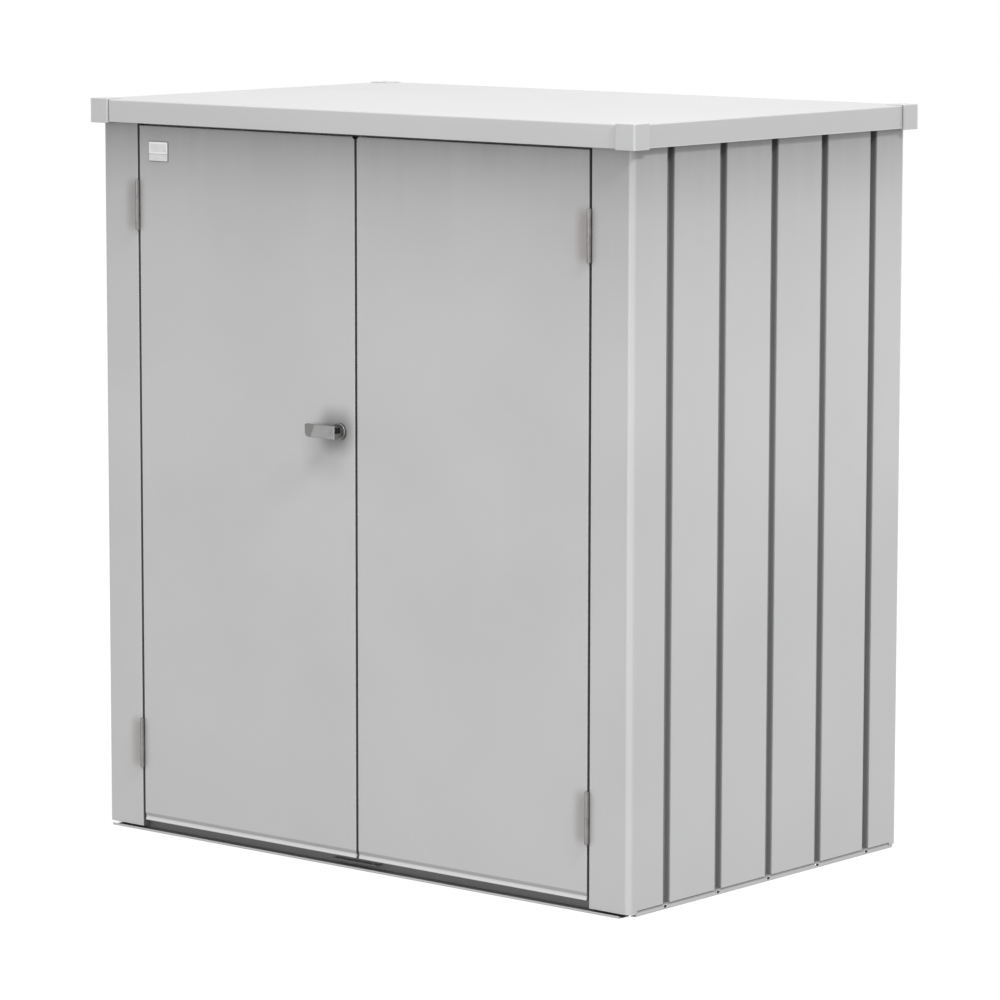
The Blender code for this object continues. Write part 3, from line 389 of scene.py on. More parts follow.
def noise(tree, vector, scale, detail=2.0, roughness=0.5):
    made = tree.nodes.new("ShaderNodeTexNoise")
    made.inputs["Scale"].default_value = scale
    made.inputs["Detail"].default_value = detail
    made.inputs["Roughness"].default_value = roughness
    tree.links.new(vector, made.inputs["Vector"])
    return made


def set_or_link(tree, sockets, values):
    for socket, value in zip(sockets, values):
        if isinstance(value, (int, float, tuple)):
            socket.default_value = value
        else:
            tree.links.new(value, socket)


def arithmetic(tree, operation, *values):
    made = tree.nodes.new("ShaderNodeMath")
    made.operation = operation
    set_or_link(tree, made.inputs, values)
    return made.outputs["Value"]


def vector_maths(tree, operation, *values):
    made = tree.nodes.new("ShaderNodeVectorMath")
    made.operation = operation
    set_or_link(tree, made.inputs, values)
    return made.outputs["Value" if operation == "LENGTH" else "Vector"]


def map_range(tree, value, from_low, from_high, to_low, to_high):
    made = tree.nodes.new("ShaderNodeMapRange")
    made.clamp = True
    bounds = {"From Min": from_low, "From Max": from_high, "To Min": to_low, "To Max": to_high}
    for label, number in bounds.items():
        made.inputs[label].default_value = number
    tree.links.new(value, made.inputs["Value"])
    return made.outputs["Result"]


def split_xyz(tree, vector):
    made = tree.nodes.new("ShaderNodeSeparateXYZ")
    tree.links.new(vector, made.inputs["Vector"])
    return made.outputs


def make_paint_grain():
    """Orange peel and metallic flake of a baked lacquer, with slow cloudiness over a whole sheet."""
    tree, given, result = new_group(
        "paint_grain", {"Peel Scale": 260.0, "Flake Scale": 900.0}, ["Peel", "Flake", "Cloud"])
    vector = given.outputs["Vector"]
    peel = noise(tree, vector, 1, 2.0, 0.45)
    tree.links.new(given.outputs["Peel Scale"], peel.inputs["Scale"])
    flake = tree.nodes.new("ShaderNodeTexVoronoi")
    tree.links.new(vector, flake.inputs["Vector"])
    tree.links.new(given.outputs["Flake Scale"], flake.inputs["Scale"])
    split = tree.nodes.new("ShaderNodeSeparateColor")
    tree.links.new(flake.outputs["Color"], split.inputs["Color"])
    cloud = noise(tree, vector, 3.2, 3.0, 0.5)
    tree.links.new(peel.outputs["Fac"], result.inputs["Peel"])
    tree.links.new(split.outputs["Red"], result.inputs["Flake"])
    tree.links.new(cloud.outputs["Fac"], result.inputs["Cloud"])
    return tree


def make_ground_dust():
    """A film of dust that thins out upwards from the ground, broken up by noise."""
    tree, given, result = new_group("ground_dust", {"Fade Height": 0.16}, ["Dust"])
    height = split_xyz(tree, given.outputs["Vector"])["Z"]
    rising = arithmetic(tree, "DIVIDE", height, given.outputs["Fade Height"])
    falling = arithmetic(tree, "SUBTRACT", 1.0, rising)
    speckle = noise(tree, given.outputs["Vector"], 55, 5.0, 0.62)
    broken = map_range(tree, speckle.outputs["Fac"], 0.35, 0.70, 0.25, 1.0)
    dust_and_painted_shade = arithmetic(tree, "MULTIPLY", falling, broken)
    clamped = map_range(tree, dust_and_painted_shade, 0.0, 1.0, 0.0, 1.0)
    tree.links.new(clamped, result.inputs["Dust"])
    return tree


def make_soft_patch():
    """1 in a box round a centre, easing down to 0 within the fade around it."""
    tree, given, result = new_group(
        "soft_patch", {"Centre": (0, 0, 0), "Half Size": (0.01, 0.01, 0.01), "Fade": 0.01}, ["Patch"])
    away = vector_maths(tree, "SUBTRACT", given.outputs["Vector"], given.outputs["Centre"])
    away = vector_maths(tree, "ABSOLUTE", away)
    beyond = vector_maths(tree, "SUBTRACT", away, given.outputs["Half Size"])
    distance = vector_maths(tree, "LENGTH", vector_maths(tree, "MAXIMUM", beyond, (0, 0, 0)))
    share = arithmetic(tree, "DIVIDE", distance, given.outputs["Fade"])
    patch = map_range(tree, share, 0.0, 1.0, 1.0, 0.0)
    patch.node.interpolation_type = "SMOOTHSTEP"
    tree.links.new(patch, result.inputs["Patch"])
    return tree


def make_eaves_film():
    """Painted shade under the lid's edge, fading out down the sheet."""
    tree, given, result = new_group(
        "eaves_shade", {"Eaves Height": lid_edge, "Reach": eaves_reach}, ["Film"])
    height = split_xyz(tree, given.outputs["Vector"])["Z"]
    below = arithmetic(tree, "SUBTRACT", given.outputs["Eaves Height"], height)
    share = arithmetic(tree, "DIVIDE", below, given.outputs["Reach"])
    left_over = map_range(tree, share, 0.0, 1.0, 1.0, 0.0)
    near = map_range(tree, below, 0.0, eaves_near, eaves_near_share, 0.0)
    eased = arithmetic(tree, "ADD", arithmetic(tree, "POWER", left_over, 3.0), near)
    drawn_down = vector_maths(tree, "MULTIPLY", given.outputs["Vector"], (38, 38, 2.5))
    drawn_noise = noise(tree, drawn_down, 1, 4.0, 0.55)
    broken = map_range(tree, drawn_noise.outputs["Fac"], 0.3, 0.7, 0.90, 1.0)
    tree.links.new(arithmetic(tree, "MULTIPLY", eased, broken), result.inputs["Film"])
    return tree


def make_spangle():
    """The crystal flowers of hot-dip zinc: cells of their own shade, with fine noise over them."""
    tree, given, result = new_group("zinc_spangle", {"Cell Scale": 95.0}, ["Shade", "Relief"])
    bend = noise(tree, given.outputs["Vector"], 60, 2.0, 0.5)
    shifted = vector_maths(tree, "MULTIPLY_ADD", bend.outputs["Color"], (0.006, 0.006, 0.006),
                           given.outputs["Vector"])
    cells = tree.nodes.new("ShaderNodeTexVoronoi")
    tree.links.new(shifted, cells.inputs["Vector"])
    tree.links.new(given.outputs["Cell Scale"], cells.inputs["Scale"])
    split = tree.nodes.new("ShaderNodeSeparateColor")
    tree.links.new(cells.outputs["Color"], split.inputs["Color"])
    fine = noise(tree, given.outputs["Vector"], 420, 3.0, 0.6)
    toned = map_range(tree, fine.outputs["Fac"], 0.3, 0.7, 0.82, 1.0)
    shade = arithmetic(tree, "MULTIPLY", split.outputs["Green"], toned)
    tree.links.new(shade, result.inputs["Shade"])
    tree.links.new(cells.outputs["Distance"], result.inputs["Relief"])
    return tree


def make_brush_lines():
    """Drawn or brushed lines: noise stretched along one axis."""
    tree, given, result = new_group(
        "brush_lines", {"Stretch": (1.0, 1.0, 0.02), "Line Scale": 1800.0}, ["Lines", "Tone"])
    stretched = vector_maths(tree, "MULTIPLY", given.outputs["Vector"], given.outputs["Stretch"])
    lines = noise(tree, stretched, 1, 3.0, 0.55)
    tree.links.new(given.outputs["Line Scale"], lines.inputs["Scale"])
    tone = noise(tree, given.outputs["Vector"], 45, 2.0, 0.5)
    tree.links.new(lines.outputs["Fac"], result.inputs["Lines"])
    tree.links.new(tone.outputs["Fac"], result.inputs["Tone"])
    return tree


# Materials

def new_material(name, metallic, specular):
    material = bpy.data.materials.new(name)
    material.use_nodes = True
    tree = material.node_tree
    shader = tree.nodes["Principled BSDF"]
    shader.inputs["Metallic"].default_value = metallic
    shader.inputs["Specular IOR Level"].default_value = specular
    place = tree.nodes.new("ShaderNodeTexCoord").outputs["Object"]
    return material, tree, shader, place


def use_group(tree, group, vector, **values):
    made = tree.nodes.new("ShaderNodeGroup")
    made.node_tree = group
    tree.links.new(vector, made.inputs["Vector"])
    for label, value in values.items():
        made.inputs[label.replace("_", " ")].default_value = value
    return made.outputs


def blend_colours(tree, factor, first, second):
    made = tree.nodes.new("ShaderNodeMix")
    made.data_type = "RGBA"
    made.clamp_factor = True
    tree.links.new(factor, made.inputs["Factor"])
    for socket, value in ((made.inputs["A"], first), (made.inputs["B"], second)):
        if isinstance(value, tuple):
            socket.default_value = (*value, 1)
        else:
            tree.links.new(value, socket)
    return made.outputs["Result"]


def wire_up(tree, shader, colour, roughness, height, strength, distance):
    """Colour, roughness and relief to the shader."""
    tree.links.new(colour, shader.inputs["Base Color"])
    tree.links.new(roughness, shader.inputs["Roughness"])
    bump = tree.nodes.new("ShaderNodeBump")
    bump.inputs["Strength"].default_value = strength
    bump.inputs["Distance"].default_value = distance
    tree.links.new(height, bump.inputs["Height"])
    tree.links.new(bump.outputs["Normal"], shader.inputs["Normal"])


def grey(value):
    return (value, value, value * 1.003)


shade_tint = grey(0.02)
# A darker grey for painted shade in hollows, and for painted shadows round the lever
painted_shade_tint = grey(0.03)
# A light grey for the paint's flakes, and for painted highlights on corners and edges
flake_and_highlight_tint = grey(0.85)
shine_tint = grey(0.90)
dust_tint = (0.46, 0.44, 0.41)
zinc_dust_tint = (0.40, 0.38, 0.35)


def folded(tree, place, middle):
    """The place, mirrored about a middle along the axes for which the middle has a level."""
    parts = split_xyz(tree, place)
    joined_up = tree.nodes.new("ShaderNodeCombineXYZ")
    for axis, level in zip("XYZ", middle):
        value = parts[axis]
        if level is not None:
            value = arithmetic(tree, "ABSOLUTE", arithmetic(tree, "SUBTRACT", value, level))
        tree.links.new(value, joined_up.inputs[axis])
    return joined_up.outputs["Vector"]


def add_marks(tree, place, colour, marks, shown=None):
    """Soft patches of a tint on a colour, each (middle, centre, half size, fade, tint, strength)."""
    for middle, centre, half_size, fade, tint, strength in marks:
        patch = use_group(tree, soft_patch, folded(tree, place, middle),
                          Centre=centre, Half_Size=half_size, Fade=fade)["Patch"]
        share = map_range(tree, patch, 0.0, 1.0, 0.0, strength)
        if shown:
            share = arithmetic(tree, "MULTIPLY", share, shown)
        colour = blend_colours(tree, share, colour, tint)
    return colour


def off_the_back(tree, place):
    """0 on the faces that look to the rear, and 1 on all others."""
    facing = split_xyz(tree, place.node.outputs["Normal"])
    return map_range(tree, facing["Y"], *turning, 1.0, 0.0)


def in_hollow(tree, place, axis, full_shade_at, no_shade_at, strength, open_axis=None):
    """Painted shade in a wall's hollows, on the faces that look outwards or along it."""
    parts = split_xyz(tree, place)
    facing = split_xyz(tree, place.node.outputs["Normal"])

    def outwards(along):
        return arithmetic(tree, "MULTIPLY", facing[along], arithmetic(tree, "SIGN", parts[along]))

    level = arithmetic(tree, "ABSOLUTE", parts[axis])
    depth = map_range(tree, level, full_shade_at, no_shade_at, strength, 0.0)
    inwards = [-share for share in reversed(turning)]
    shaded = arithmetic(tree, "MULTIPLY", depth, map_range(tree, outwards(axis), *inwards, 0.0, 1.0))
    if open_axis is None:
        return shaded
    return arithmetic(tree, "MULTIPLY", shaded, map_range(tree, outwards(open_axis), *turning, 1.0, 0.0))


def make_paint(name, tone, eaves=0.0, hollow=None, marks=(), gloss=paint_gloss, front_only=False):
    """Baked silver lacquer, with painted shade under the eaves and in hollows, and painted shadows, shade
    and highlights as marks.
    """
    material, tree, shader, place = new_material(name, 0.12, gloss)
    grain = use_group(tree, paint_grain, place)
    dust = use_group(tree, ground_dust, place)["Dust"]
    cloud = map_range(tree, grain["Cloud"], 0.35, 0.65, 0.0, 1.0)
    sheet = blend_colours(tree, cloud, *map(grey, tone))
    flake = map_range(tree, grain["Flake"], 0.0, 1.0, 0.0, 0.05)
    colour = blend_colours(tree, flake, sheet, flake_and_highlight_tint)
    colour = blend_colours(tree, map_range(tree, dust, 0.0, 1.0, 0.0, dust_share), colour, dust_tint)
    # Painted shade under the lid's edge, as a darker colour
    if eaves:
        dust_and_painted_shade = use_group(tree, eaves_shade, place)["Film"]
        colour = blend_colours(tree, arithmetic(tree, "MULTIPLY", dust_and_painted_shade, eaves), colour, shade_tint)
    # Painted shade in the grooves and recesses, as a darker colour
    if hollow:
        colour = blend_colours(tree, in_hollow(tree, place, *hollow), colour, painted_shade_tint)
    shown = off_the_back(tree, place) if front_only else None
    colour = add_marks(tree, place, colour, marks, shown)
    roughness = map_range(tree, grain["Cloud"], 0.3, 0.7, 0.40, 0.48)
    wire_up(tree, shader, colour, roughness, grain["Peel"], 0.10, 0.0006)
    return material


def make_zinc():
    material, tree, shader, place = new_material("hot_dip_zinc", 0.75, 0.5)
    spangle = use_group(tree, zinc_spangle, place)
    dust = use_group(tree, ground_dust, place, Fade_Height=0.09)["Dust"]
    shade = blend_colours(tree, spangle["Shade"], (0.36, 0.37, 0.38), (0.60, 0.61, 0.62))
    colour = blend_colours(tree, map_range(tree, dust, 0.0, 1.0, 0.0, 0.35), shade, zinc_dust_tint)
    roughness = map_range(tree, spangle["Shade"], 0.0, 1.0, 0.36, 0.56)
    wire_up(tree, shader, colour, roughness, spangle["Relief"], 0.08, 0.0004)
    return material


def make_brushed(name, dark, light, rough_low, rough_high, stretch, line_scale):
    material, tree, shader, place = new_material(name, 1.0, 0.5)
    lines = use_group(tree, brush_lines, place, Stretch=stretch, Line_Scale=line_scale)
    mixed = arithmetic(tree, "MULTIPLY", lines["Lines"], lines["Tone"])
    colour = blend_colours(tree, map_range(tree, mixed, 0.12, 0.40, 0.0, 1.0), dark, light)
    roughness = map_range(tree, lines["Tone"], 0.3, 0.7, rough_low, rough_high)
    wire_up(tree, shader, colour, roughness, lines["Lines"], 0.06, 0.0002)
    return material


def make_cap_plastic(marks):
    material, tree, shader, place = new_material("cap_plastic", 0.0, 0.45)
    grain = use_group(tree, paint_grain, place, Peel_Scale=1100.0, Flake_Scale=2200.0)
    cloud = map_range(tree, grain["Cloud"], 0.3, 0.7, 0.0, 1.0)
    colour = blend_colours(tree, cloud, *map(grey, cap_tone))
    colour = add_marks(tree, place, colour, marks)
    roughness = map_range(tree, grain["Peel"], 0.3, 0.7, 0.50, 0.60)
    wire_up(tree, shader, colour, roughness, grain["Peel"], 0.25, 0.0003)
    return material


def make_dark(name, dark, light, metallic, rough_low, rough_high, peel_scale, relief):
    """Black rubber, black lacquer, and a black plastic that stands as painted shade in holes and recesses:
    two near blacks, with pores or peel.
    """
    material, tree, shader, place = new_material(name, metallic, 0.4)
    grain = use_group(tree, paint_grain, place, Peel_Scale=peel_scale)
    pores = map_range(tree, grain["Peel"], 0.3, 0.7, 0.0, 1.0)
    colour = blend_colours(tree, pores, grey(dark), grey(light))
    roughness = map_range(tree, grain["Cloud"], 0.3, 0.7, rough_low, rough_high)
    wire_up(tree, shader, colour, roughness, grain["Peel"], relief, 0.0003)
    return material


lid_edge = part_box("lid_panel")[0].z
paint_grain = make_paint_grain()
ground_dust = make_ground_dust()
eaves_shade = make_eaves_film()
soft_patch = make_soft_patch()
zinc_spangle = make_spangle()
brush_lines = make_brush_lines()

behaviour = frame["record"]["behaviour"]
joint_place = {joint["name"]: Vector(joint["pos_m"]) for joint in behaviour["joints"] if "pos_m" in joint}
body_of = {node: body for body, members in behaviour["bodies"].items() for node in members}
nowhere = (None, None, None)


def door_marks():
    """Painted shade in the gaps beside the doors, a painted shade line and a painted highlight along the
    crease at their foot, a painted highlight on the posts' corners, painted shadows beside the hinges and
    round the lever, and painted shade round the badge."""
    door_low, door_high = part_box("door_right_skin")
    post_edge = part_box("post_front_right")[0].x
    hinge = joint_place["door_right_hinge"]
    hinge_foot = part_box("hinge_post_leaf_right_upper")[0].z
    hinge_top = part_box("hinge_door_leaf_right_upper")[1].z
    rise = (hinge_foot + hinge_top) / 2 - hinge.z
    badge_low, badge_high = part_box("badge_plate")
    badge_middle = tuple((badge_low + badge_high) / 2)
    badge_half = tuple((badge_high - badge_low) / 2)
    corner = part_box("post_front_right")[1].x
    gap_y = door_low.y + gap_middle_depth
    gaps = ((0, door_low.x), ((door_high.x + post_edge) / 2, (post_edge - door_high.x) / 2))
    # Painted shade in the gaps beside and between the doors
    marks = [
        ((0, None, hinge.z), (x, gap_y, 0), (half + gap_margin, gap_half_depth, far_off), gap_fade,
         shade_tint, gap_painted_shade)
        for x, half in gaps
    ]
    # A painted shade line and a painted highlight along the crease at the doors' foot
    for level, tint, strength in ((crease_shade_level, shade_tint, crease_painted_shade),
                                  (crease_shine_level, shine_tint, crease_shine)):
        marks.append((nowhere, (0, door_low.y, door_low.z + level),
                      (door_high.x - crease_fade, far_off, crease_half), crease_fade, tint, strength))
    # Painted shadows of the hinge barrels, on one side of each gap
    for x in (-hinge.x, hinge.x):
        marks.append(((None, None, hinge.z), (x - hinge_shadow_inset, 0, rise), hinge_shadow_half,
                      hinge_shadow_fade, hinge_shadow_tint, hinge_painted_shadow))
    # Painted shadows round and below the lever
    for place, half, fade, strength in lever_shadow_marks:
        marks.append((nowhere, place, half, fade, painted_shade_tint, strength))
    # A painted highlight along the posts' rounded corners
    band_place = (corner - corner_band_inset_x, door_low.y + corner_band_inset_y, 0)
    marks.append(((0, None, None), band_place, (corner_band_half, corner_band_half, far_off),
                  corner_band_fade, flake_and_highlight_tint, corner_band))
    # Painted shade round the edges of the badge
    marks.append((nowhere, badge_middle, badge_half, badge_edge_fade, shade_tint,
                  badge_edge_painted_shade))
    return marks


def lid_marks():
    """A painted shadow line on the skirt beside each corner cap, and painted shade on the sides of the
    skirt.
    """
    cap_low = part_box("lid_cap_front_right")[0]
    cap_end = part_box("lid_cap_front_right")[1].y
    lid_low, lid_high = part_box("lid_panel")
    middle = (lid_low + lid_high) / 2
    half_height = (lid_high.z - lid_low.z) / 2 - seam_fade
    spots = (((cap_low.x - seam_half, 0, middle.z), (seam_half, far_off, half_height)),
             ((0, middle.y - cap_end - seam_half, middle.z), (far_off, seam_half, half_height)))
    marks = [((0, middle.y, None), centre, half, seam_fade, shade_tint, seam_painted_shade)
             for centre, half in spots]
    marks.append(skirt_mark(lid_high.x, middle.z, half_height, skirt_shade))
    return marks


def skirt_mark(face, level, half_height, shade):
    return ((0, None, None), (face, 0, level), (skirt_depth / 2, far_off, half_height), skirt_depth / 2,
            shade_tint, shade)


def cap_marks():
    """Painted shade on the caps' sides, and a painted highlight along their outer edges."""
    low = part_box("lid_cap_front_left")[0]
    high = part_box("lid_cap_rear_right")[1]
    middle = (low + high) / 2
    edge = (high.x - cap_shine_inset, (high.y - low.y) / 2 - cap_shine_inset, middle.z)
    return [skirt_mark(high.x, middle.z, (high.z - low.z) / 2 - seam_fade, cap_shade),
            ((0, middle.y, None), edge, (0, 0, far_off), cap_shine_fade, flake_and_highlight_tint, cap_shine)]


side_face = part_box("side_panel_right")[1].x
back_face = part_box("back_panel_wide")[1].y
lip_face = -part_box("base_rail_front")[0].y
strip_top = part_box("side_panel_right")[0].z
side_hollow = ("X", side_face - groove_full_shade, side_face - groove_no_shade, groove_painted_shade)
back_hollow = ("Y", back_face - groove_full_shade, back_face - groove_no_shade, groove_painted_shade)
plinth_hollow = ("Y", lip_face - plinth_full_shade, lip_face - plinth_no_shade, plinth_painted_shade)
# Painted shade line under the walls' lower edge, on the base strips
strip_marks = [(nowhere, (0, 0, strip_top), (far_off, far_off, strip_line / 2), strip_line / 2,
                shade_tint, strip_painted_shade)]

paints = {
    "silver_paint": (front_tone, {"eaves": eaves_strength, "marks": door_marks(), "front_only": True}),
    "rear_post_paint": (front_tone, {"eaves": eaves_strength, "hollow": (*side_hollow, "Y")}),
    "lid_paint": (wall_tone, {"marks": lid_marks(), "gloss": lid_gloss}),
    "plinth_paint": (front_tone, {"hollow": plinth_hollow}),
    "strip_paint": (wall_tone, {"marks": strip_marks}),
    "side_paint": (wall_tone, {"eaves": side_eaves_strength, "hollow": side_hollow}),
    "back_paint": (wall_tone, {"eaves": eaves_strength, "hollow": back_hollow}),
}

# Dark tone, light tone, least and most roughness, stretch of the lines, and their scale
upright = (1.0, 1.0, 0.03)
lever_brush = (0.05, 1.0, 1.0)
badge_brush = (0.03, 1.0, 1.0)
no_stretch = (1.0, 1.0, 1.0)
brushed = {
    "hinge_steel": ((0.205, 0.196, 0.193), (0.300, 0.288, 0.284), 0.46, 0.58, upright, 1500.0),
    "lever_nickel": ((0.285, 0.284, 0.283), (0.340, 0.339, 0.337), 0.42, 0.52, lever_brush, 1300.0),
    # A darker copy of the lever's nickel: painted shade on the thumb zone
    "lever_zone_shade": ((0.19, 0.188, 0.187), (0.25, 0.248, 0.246), 0.44, 0.54, lever_brush, 1300.0),
    "rosette_steel": ((0.17, 0.168, 0.166), (0.28, 0.277, 0.274), 0.34, 0.44, no_stretch, 1300.0),
    "badge_metal": ((0.70, 0.70, 0.70), (0.79, 0.79, 0.79), 0.28, 0.40, badge_brush, 2600.0),
    "badge_field": ((0.59, 0.59, 0.59), (0.67, 0.67, 0.67), 0.30, 0.42, badge_brush, 2600.0),
    "badge_line": ((0.46, 0.46, 0.46), (0.52, 0.52, 0.52), 0.30, 0.40, badge_brush, 2600.0),
    "rod_steel": ((0.60, 0.60, 0.60), (0.76, 0.76, 0.76), 0.12, 0.22, upright, 2200.0),
}

# Dark tone, light tone, share of metal, least and most roughness, scale of the pores, and relief
blacks = {
    "seal_rubber": (0.012, 0.030, 0.0, 0.75, 0.90, 900.0, 0.5),
    "black_steel": (0.014, 0.030, 0.3, 0.28, 0.40, 420.0, 0.12),
    "painted_hole_shade": (0.010, 0.018, 0.0, 0.45, 0.60, 1400.0, 0.3),
    "keeper_steel": (0.170, 0.200, 0.1, 0.50, 0.62, 420.0, 0.12),
}
finishes = {
    **{name: make_paint(name, tone, **extra) for name, (tone, extra) in paints.items()},
    **{name: make_brushed(name, *look) for name, look in brushed.items()},
    **{name: make_dark(name, *look) for name, look in blacks.items()},
    "zinc": make_zinc(),
    "cap_plastic": make_cap_plastic(cap_marks()),
}

sides = ("left", "right")
levels = ("upper", "lower")
ends = ("front", "rear")


# Folded sheets and turned pieces, with the CAD's shape and a smooth surface

def pair(pattern, words=sides):
    return [pattern.format(word) for word in words]


hinge_leaves = [f"hinge_{part}_leaf_{side}_{level}"
                for part in ("post", "door") for side in sides for level in levels]
surfaces = {
    "silver_paint": ["header_front", *pair("post_front_{}"), *pair("door_{}_skin")],
    "rear_post_paint": pair("post_rear_{}"),
    "strip_paint": pair("base_rail_{}", (*sides, "rear")),
    "lid_paint": ["lid_panel"],
    "plinth_paint": ["base_rail_front"],
    "side_paint": pair("side_panel_{}"),
    "back_paint": ["back_panel_wide", "back_panel_narrow"],
    "cap_plastic": [f"lid_cap_{end}_{side}" for end in ends for side in sides],
    "zinc": ["floor_plate", "shelf", *pair("top_rail_{}", (*sides, "rear")), "lock_case",
             *pair("lid_stiffener_{}", ends), *pair("lock_rod_{}", levels),
             *pair("strut_foot_bracket_{}"), *pair("door_{}_stiffener"), *pair("bolt_housing_{}", levels)],
    "hinge_steel": ["lid_hinge_wall_leaf", "lid_hinge_lid_leaf", "lid_hinge_pin", *hinge_leaves],
    "black_steel": pair("strut_cylinder_{}"),
    "rod_steel": [*pair("strut_rod_{}"), *pair("slide_bolt_{}", levels)],
    "lever_nickel": ["lock_pinion"],
    "keeper_steel": ["threshold_keeper"],
    "seal_rubber": ["lid_seal"],
}


def finish_surfaces():
    for finish, members in surfaces.items():
        for node in members:
            smooth_copy(node, finish)


# Fixings

def screw_model(name, radius, height, socket_radius=0, socket_depth=0):
    """A pan head on the origin that points up, with or without a socket in its top."""
    model = start_rod(name, radius, (0, 0, 0), (0, 0, height), screw_sides)
    round_edges(model, height / 2, round_segments, lambda a, b: min(a.z, b.z) > height / 2)
    if socket_radius:
        pick_faces(model, lambda middle, normal: normal.z > squarely and middle.z > height / 2)
        sink(radius - height / 2 - socket_radius, (0, 0, -socket_depth))
        finish_edit()
    return smooth(model)


def fixings(name, model, places, finish, body):
    return dress(smooth(copies(model, name, places)), finish, body)


def spread(count, low, high):
    return [low + (high - low) * number / (count - 1) for number in range(count)]


def place_hinge_screws():
    """A row of flat heads on each leaf of the door hinges, in the gap beside the door."""
    model = screw_model("hinge_screw", hinge_screw_radius, hinge_screw_height)
    for side, way in (("left", -1), ("right", 1)):
        for level in levels:
            for part, aside in (("post", -way), ("door", way)):
                node = f"hinge_{part}_leaf_{side}_{level}"
                low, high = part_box(node)
                face = flat_face_of(node, aside)
                middle_y = high.y - hinge_screw_radius - leaf_edge_margin
                rows = spread(hinge_screw_count, low.z + leaf_end_margin, high.z - leaf_end_margin)
                places = [((face + aside * fixing_gap, middle_y, z), (aside, 0, 0)) for z in rows]
                fixings(f"hinge_screws_{part}_{side}_{level}", model, places, "rod_steel", body_of[node])
    bpy.data.objects.remove(model)


def flat_face_of(node, way):
    """Where a hinge leaf's plate has its face, on the side that the way points to."""
    low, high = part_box(node)
    flat_from = low.y + (high.y - low.y) * leaf_flat_share
    rear_half = [v.co.x for v in nodes[node].data.vertices if v.co.y > flat_from]
    return max(rear_half) if way > 0 else min(rear_half)


def place_base_screws():
    """An oblong plug under each groove, through the base strip, with a slot whose floor is painted near
    black as shade.
    """
    model = screw_model("base_screw", base_screw_ring, base_screw_height, base_screw_hole, base_screw_depth)
    start_edit(model, "VERT", "SELECT")
    bpy.ops.transform.resize(value=base_screw_stretch, center_override=(0, 0, 0))
    finish_edit()
    strip_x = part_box("base_rail_right")[1].x + fixing_gap
    strip_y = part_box("base_rail_rear")[1].y + fixing_gap
    lanes = groove_centres("side_panel_right", 1)
    rows = [(side, Vector((way, 0, 0)), [(way * strip_x, y, base_screw_level) for y in lanes])
            for side, way in (("left", -1), ("right", 1))]
    rows.append(("rear", Vector((0, 1, 0)), [(x, strip_y, base_screw_level) for x in back_lanes()]))
    for side, outwards, spots in rows:
        places = [(spot, outwards) for spot in spots]
        piece = fixings(f"base_screws_{side}", model, places, "rod_steel", "carcass")
        seat = Vector(spots[0]).dot(outwards)
        add_material(piece, "painted_hole_shade", lambda middle, normal: normal.dot(outwards) > squarely
                     and middle.dot(outwards) < seat + base_screw_height / 2)
    bpy.data.objects.remove(model)


def surface_point(node, start, way):
    """Where a line from a start point meets a node's surface."""
    mesh = nodes[node].data
    corners = [v.co for v in mesh.vertices]
    tree = BVHTree.FromPolygons(corners, [face.vertices for face in mesh.polygons])
    return tree.ray_cast(Vector(start), Vector(way))[0]


def place_hinge_caps():
    """A low cap on each end of the door hinges' barrels."""
    model = screw_model("hinge_cap", hinge_cap_radius, hinge_cap_height)
    for side in sides:
        axis = joint_place[f"door_{side}_hinge"]
        for level in levels:
            for part, way in (("door", 1), ("post", -1)):
                node = f"hinge_{part}_leaf_{side}_{level}"
                start = (axis.x + hinge_knuckle_offset, axis.y, axis.z + way * far_off)
                end = surface_point(node, start, (0, 0, -way)).z + way * fixing_gap
                places = [((axis.x, axis.y, end), (0, 0, way))]
                fixings(f"hinge_cap_{part}_{side}_{level}", model, places, "hinge_steel", body_of[node])
    bpy.data.objects.remove(model)


def corners_of(node, margin):
    """Spans of x, y and z that keep a margin from a node's sides."""
    low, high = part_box(node)
    return [(low[axis] + margin, high[axis] - margin) for axis in range(3)]


